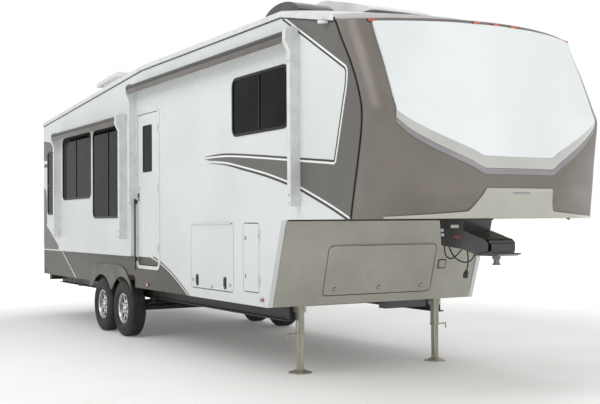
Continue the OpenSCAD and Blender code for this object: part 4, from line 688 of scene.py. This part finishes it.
# Wheels: distance from the axle and from the middle plane, in mm
TYRE_SIDE = [(190.5, 85.5), (204.5, 94.5), (212, 97), (214, 99.5), (219, 100), (224, 102.5), (240, 109.5),
             (258.5, 112), (273, 110.5), (287.5, 105.5), (296, 103.5), (298, 105), (305, 104.2), (307, 101.5),
             (326, 98.5), (340, 91.5), (348, 83), (354.5, 74), (357.6, 63)]
TREAD = [(357.8, 52), (350, 50), (350, 43), (358, 41), (358, 18), (350, 16), (350, 9), (358, 7)]
CENTRE_CAP = [(0, 84), (16, 83), (27, 79), (34, 72), (37, 64), (38, 55), (30, 55), (0, 55)]


def spin_profile(bm, profile, centre, side, steps, closed):
    """A shape turned about a wheel's axle from rows of radius and distance outwards."""
    spot = Vector(centre)
    verts = [bm.verts.new(spot + Vector((0, side * w / 1000, r / 1000))) for r, w in profile]
    pairs = list(zip(verts, verts[1:])) + ([(verts[-1], verts[0])] if closed else [])
    edges = [bm.edges.new(p) for p in pairs]
    bmesh.ops.spin(bm, geom=verts + edges, cent=spot, axis=(0, 1, 0), angle=2 * math.pi, steps=steps,
                   use_merge=True)
    bmesh.ops.remove_doubles(bm, verts=bm.verts, dist=0.00005)


def wheel_dress(tyre):
    """A treaded tyre, a centre cap and lug nut caps on one wheel."""
    low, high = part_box(tyre)
    centre = (low + high) / 2
    side = -1 if centre.y < 0 else 1
    wheel = tyre.replace("_tyre", "_wheel")
    steps, cut, cut_from, cut_every = 120, 0.006, 0.045, 5
    outer = TYRE_SIDE + TREAD
    profile = outer + [(r, -w) for r, w in outer[::-1]]
    bm = bmesh.new()
    spin_profile(bm, profile, centre, side, steps, True)
    for v in bm.verts:
        arm = Vector((v.co.x - centre.x, 0, v.co.z - centre.z))
        step = round(math.degrees(math.atan2(arm.z, arm.x)) / (360 / steps))
        if arm.length > 0.353 and abs(v.co.y - centre.y) > cut_from and step % cut_every == 0:
            v.co -= arm.normalized() * cut
    obj = finish_mesh(tyre.replace("_tyre", "_treaded_tyre"), bm, "tyre", wheel, 35)
    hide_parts(tyre)
    bm = bmesh.new()
    spin_profile(bm, CENTRE_CAP, centre, side, 40, False)
    lug_circle, nut_from, nut_to = 0.07, 0.052, 0.074
    for k in range(6):
        a = math.radians(60 * k)
        spot = centre + Vector((lug_circle * math.cos(a), 0, lug_circle * math.sin(a)))
        put_rod(bm, spot + Vector((0, side * nut_from, 0)), spot + Vector((0, side * nut_to, 0)), 0.0125, 12, 0.009)
    finish_mesh(tyre.replace("_tyre", "_caps"), bm, "chrome", wheel, 35)


for n in [n for n in cad if n.endswith("_tyre")]:
    wheel_dress(n)


# Doors and compartments
def outward(side, x, z, out):
    return Vector((x, side * (HALF_W + out), z))


def latch(black, bright, side, x, z, height=0.125, width=0.066):
    """A folding latch: its base plate, its paddle and the lock beside it."""
    for half_w, half_h, depth in ((width / 2, height / 2, 0.005), (width * 0.3, height * 0.36, 0.012)):
        outline = rounded(x - half_w, z - half_h, x + half_w, z + half_h, half_w * 0.7)
        put_plate(black, [outward(side, a, b, 0.0002) for a, b in outline], (0, side * depth, 0))
    put_rod(bright, outward(side, x, z - height * 0.36, 0.004), outward(side, x, z - height * 0.36, 0.0145), 0.007)


def lock(black, bright, side, x, z, radius=0.013):
    """A round cam lock with its ring."""
    put_rod(black, outward(side, x, z, 0.0002), outward(side, x, z, 0.005), radius * 1.35, 20)
    put_rod(bright, outward(side, x, z, 0.003), outward(side, x, z, 0.008), radius, 20, radius * 0.85)


def lid_fittings(node, side, latches, locks):
    low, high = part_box(node)
    black, bright = bmesh.new(), bmesh.new()
    for share, z in latches:
        latch(black, bright, side, low.x + (high.x - low.x) * share, z)
    for share, z in locks:
        lock(black, bright, side, low.x + (high.x - low.x) * share, z)
    finish_mesh(f"{node}_fittings", black, "black_plastic", node, bevel=0.0015)
    finish_mesh(f"{node}_locks", bright, "chrome", node, 40)


LATCHES = [(0.153, 0.837), (0.815, 0.837)]
LOCKS = [(0.039, 0.834), (0.509, 0.787), (0.924, 0.82)]
lid_fittings("baggage_door", -1, LATCHES, LOCKS)
lid_fittings("off_baggage_door", 1, LATCHES, LOCKS)
lid_fittings("utility_door", -1, [], [(0.12, 0.93), (0.12, 1.3)])


def entry_fittings():
    """The latch's paddle and lock, and a blank tag beside them."""
    x, z = -0.504, 1.77
    black, bright, tag = bmesh.new(), bmesh.new(), bmesh.new()
    for (x0, z0, x1, z1, r, out, deep) in ((x - 0.02, z - 0.01, x + 0.022, z + 0.045, 0.01, 0.012, 0.012),
                                           (x - 0.016, z - 0.048, x + 0.018, z - 0.02, 0.008, 0.012, 0.006)):
        put_plate(black, [outward(-1, a, b, out) for a, b in rounded(x0, z0, x1, z1, r)], (0, -deep, 0))
    put_rod(bright, outward(-1, x, z - 0.034, 0.016), outward(-1, x, z - 0.034, 0.021), 0.008)
    put_rod(bright, outward(-1, x + 0.002, z + 0.1, 0.0002), outward(-1, x + 0.002, z + 0.1, 0.009), 0.019, 24, 0.016)
    put_plate(tag, [outward(-1, a, b, 0.0002) for a, b in rounded(x - 0.012, z - 0.1, x + 0.016, z - 0.07, 0.004)],
              (0, -0.0012, 0))
    finish_mesh("entry_latch", black, "black_plastic", "entry_door", bevel=0.002)
    finish_mesh("entry_locks", bright, "chrome", "entry_door", 40)
    finish_mesh("entry_blank_tag", tag, "label", "entry_door")


entry_fittings()


# Luggage bay front: a small square hatch and the locks along the wide hatch, on the leaning panel
BAY_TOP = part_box("basement_front")[1]
BAY_LEAN = math.radians(16)


def bay_point(y, z, out=0.0):
    """A point on the leaning front, out from its face."""
    return Vector((BAY_TOP.x - (BAY_TOP.z - z) * math.tan(BAY_LEAN) + out * math.cos(BAY_LEAN), y,
                   z - out * math.sin(BAY_LEAN)))


def bay_plate(bm, y0, z0, y1, z1, r, out, depth):
    way = bay_point(0, 1, depth) - bay_point(0, 1)
    put_plate(bm, [bay_point(y, z, out) for y, z in rounded(y0, z0, y1, z1, r)], way)


def bay_fittings():
    low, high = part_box("front_hatch")
    ring, lid, black, bright = (bmesh.new() for _ in range(4))
    bay_plate(ring, 0.69, 0.969, 0.79, 1.064, 0.012, 0.0003, 0.006)
    bay_plate(lid, 0.7, 0.979, 0.78, 1.054, 0.008, 0.005, 0.005)
    finish_mesh("outlet_frame", ring, "trim", "trailer", bevel=0.002)
    finish_mesh("outlet_lid", lid, "basement", "trailer", bevel=0.002)
    z = low.z + 0.06
    for y in (low.y + 0.12, (low.y + high.y) / 2, high.y - 0.12):
        put_rod(black, bay_point(y, z, 0.0003), bay_point(y, z, 0.005), 0.02, 20)
        put_rod(bright, bay_point(y, z, 0.004), bay_point(y, z, 0.009), 0.014, 20, 0.012)
    finish_mesh("hatch_lock_rings", black, "black_plastic", "front_hatch")
    finish_mesh("hatch_locks", bright, "chrome", "front_hatch", 40)


bay_fittings()


# Roof: edge mouldings with their drip lines and gutter spouts
ROOF_SIDE = [(REAR_X + 0.002, 3.028), (ROOF_BEND_X, EAVE_Z), (ROOF_PEAK_X, EAVE_Z), (CAP_X, CAP_TOP_Z)]


def roof_edges():
    for side in SIDES.values():
        tag = "door" if side < 0 else "off"
        bm = bmesh.new()
        side_decal(bm, side, stroke(moved(ROOF_SIDE, 0.012), 0.052), 0.014)
        finish_mesh(f"roof_edge_{tag}", bm, "arm", "trailer", bevel=0.006, segments=3)
        bm = bmesh.new()
        side_decal(bm, side, stroke(moved(ROOF_SIDE, -0.019), 0.007), 0.009)
        finish_mesh(f"drip_line_{tag}", bm, "seal", "trailer")
        bm = bmesh.new()
        spout = [(3.9, 3.158), (3.99, 3.14), (4.0, 3.118), (3.93, 3.122), (3.9, 3.13)]
        put_plate(bm, [outward(side, x, z, 0.012) for x, z in spout], (0, side * 0.05, 0))
        finish_mesh(f"gutter_spout_{tag}", bm, "arm", "trailer", bevel=0.003)


roof_edges()


# Awnings: cloth hems under the rollers, end caps and bolts on the arms
def awning_details(arms, roller, body, name):
    low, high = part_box(roller)
    arm_low, arm_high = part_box(arms)
    middle = (low + high) / 2
    radius = (high.z - low.z) / 2
    bm = bmesh.new()
    put_box(bm, (low.x + 0.03, middle.y - radius * 0.95, middle.z - radius - 0.032),
            (high.x - 0.03, middle.y - radius * 0.95 + 0.004, middle.z - radius * 0.3))
    finish_mesh(f"{name}_hem", bm, "hem", body, bevel=0.0012)
    bm = bmesh.new()
    for x, way in ((low.x, 1), (high.x, -1)):
        put_rod(bm, (x + way * 0.001, middle.y, middle.z), (x + way * 0.02, middle.y, middle.z), radius * 1.08, 28,
                radius * 1.04)
    finish_mesh(f"{name}_end_caps", bm, "black_plastic", body, 40)
    bm = bmesh.new()
    face = arm_low.y + 0.045
    for x in (arm_low.x + 0.03, arm_high.x - 0.03):
        for z in (arm_low.z + 0.03, arm_low.z + 0.1, middle.z - 0.24):
            put_rod(bm, (x, face + 0.001, z), (x, face - 0.006, z), 0.009, 6)
    finish_mesh(f"{name}_bolts", bm, "chrome", body, 40)


awning_details("awning_arms", "awning_roller", "trailer", "patio_awning")
awning_details("slideout_awning", "slideout_roller", "slideout", "slide_awning")


# Pin box: blank labels on both cheeks
def pin_labels():
    white, red = bmesh.new(), bmesh.new()
    cheek = 0.15
    for side in SIDES.values():
        for bm, x0, z0, x1, z1 in ((white, 4.242, 1.393, 4.348, 1.419), (white, 4.1, 1.36, 4.14, 1.385),
                                   (white, 4.105, 1.32, 4.145, 1.345), (red, 4.29, 1.305, 4.37, 1.325)):
            put_plate(bm, [(x, side * (cheek + 0.0002), z) for x, z in rounded(x0, z0, x1, z1, 0.003)],
                      (0, side * 0.0012, 0))
    finish_mesh("pin_box_white_labels", white, "label", "trailer")
    finish_mesh("pin_box_red_labels", red, "label_red", "trailer")


pin_labels()


# Studio
def studio():
    world = bpy.data.worlds.new("studio")
    bpy.context.scene.world = world
    world.use_nodes = True
    tree = world.node_tree
    out = tree.nodes["World Output"]
    light = tree.nodes["Background"]
    above = add(tree, "ShaderNodeTexCoord").outputs["Generated"]
    z = add(tree, "ShaderNodeSeparateXYZ", {0: above}).outputs[2]
    rise = add(tree, "ShaderNodeMapRange", {0: z, 1: -0.1, 2: 0.5}).outputs[0]
    sky = add(tree, "ShaderNodeMix", {0: rise, 6: linear("#d9dad8"), 7: linear("#ffffff")}, data_type="RGBA")
    tree.links.new(sky.outputs[2], light.inputs[0])
    light.inputs[1].default_value = 0.6
    plain = add(tree, "ShaderNodeBackground", {0: (1, 1, 1, 1), 1: 1.0})
    path = add(tree, "ShaderNodeLightPath").outputs
    mirror = add(tree, "ShaderNodeMath", {0: path["Is Glossy Ray"], 1: path["Is Transmission Ray"]},
                 operation="MAXIMUM").outputs[0]
    seen = add(tree, "ShaderNodeMath", {0: path["Is Camera Ray"], 1: mirror}, operation="MAXIMUM").outputs[0]
    both = add(tree, "ShaderNodeMixShader", {0: seen, 1: light.outputs[0], 2: plain.outputs[0]})
    tree.links.new(both.outputs[0], out.inputs[0])
    for name, place, size, power in (("key", (3.0, -9.0, 9.0), 7.0, 340), ("front", (12.0, 3.0, 7.0), 6.0, 200),
                                     ("top", (0.0, 0.0, 10.0), 9.0, 170)):
        data = bpy.data.lights.new(name, "AREA")
        data.shape = "RECTANGLE"
        data.size = data.size_y = size
        data.energy = power
        lamp = bpy.data.objects.new(name, data)
        lamp.location = place
        lamp.rotation_mode = "QUATERNION"
        lamp.rotation_quaternion = (Vector((0.5, 0, 1.2)) - Vector(place)).to_track_quat("-Z", "Y")
        bpy.context.scene.collection.objects.link(lamp)
    bm = bmesh.new()
    bmesh.ops.create_grid(bm, x_segments=1, y_segments=1, size=60)
    mesh = bpy.data.meshes.new("floor")
    bm.to_mesh(mesh)
    bm.free()
    # Painted concrete of the studio floor: pale and matt, fading to the white backdrop far out
    mat = finish("studio_floor", "#f4f4f3", "#eeeeec", 0.7, 0.08, cloud_mm=900, grain_mm=6, depth_mm=0.2)
    tree = mat.node_tree
    shader = tree.nodes["Principled BSDF"]
    place = add(tree, "ShaderNodeTexCoord").outputs["Object"]
    far = add(tree, "ShaderNodeVectorMath", {0: place}, operation="LENGTH").outputs["Value"]
    fade = add(tree, "ShaderNodeMapRange", {0: far, 1: 4.5, 2: 11.0, 3: 0.12, 4: 0.8}).outputs[0]
    tree.links.new(fade, shader.inputs["Emission Strength"])
    shader.inputs["Emission Color"].default_value = (1, 1, 1, 1)
    mesh.materials.append(mat)
    floor = bpy.data.objects.new("floor", mesh)
    bpy.context.scene.collection.objects.link(floor)
    bpy.context.scene.view_settings.view_transform = "Standard"


studio()
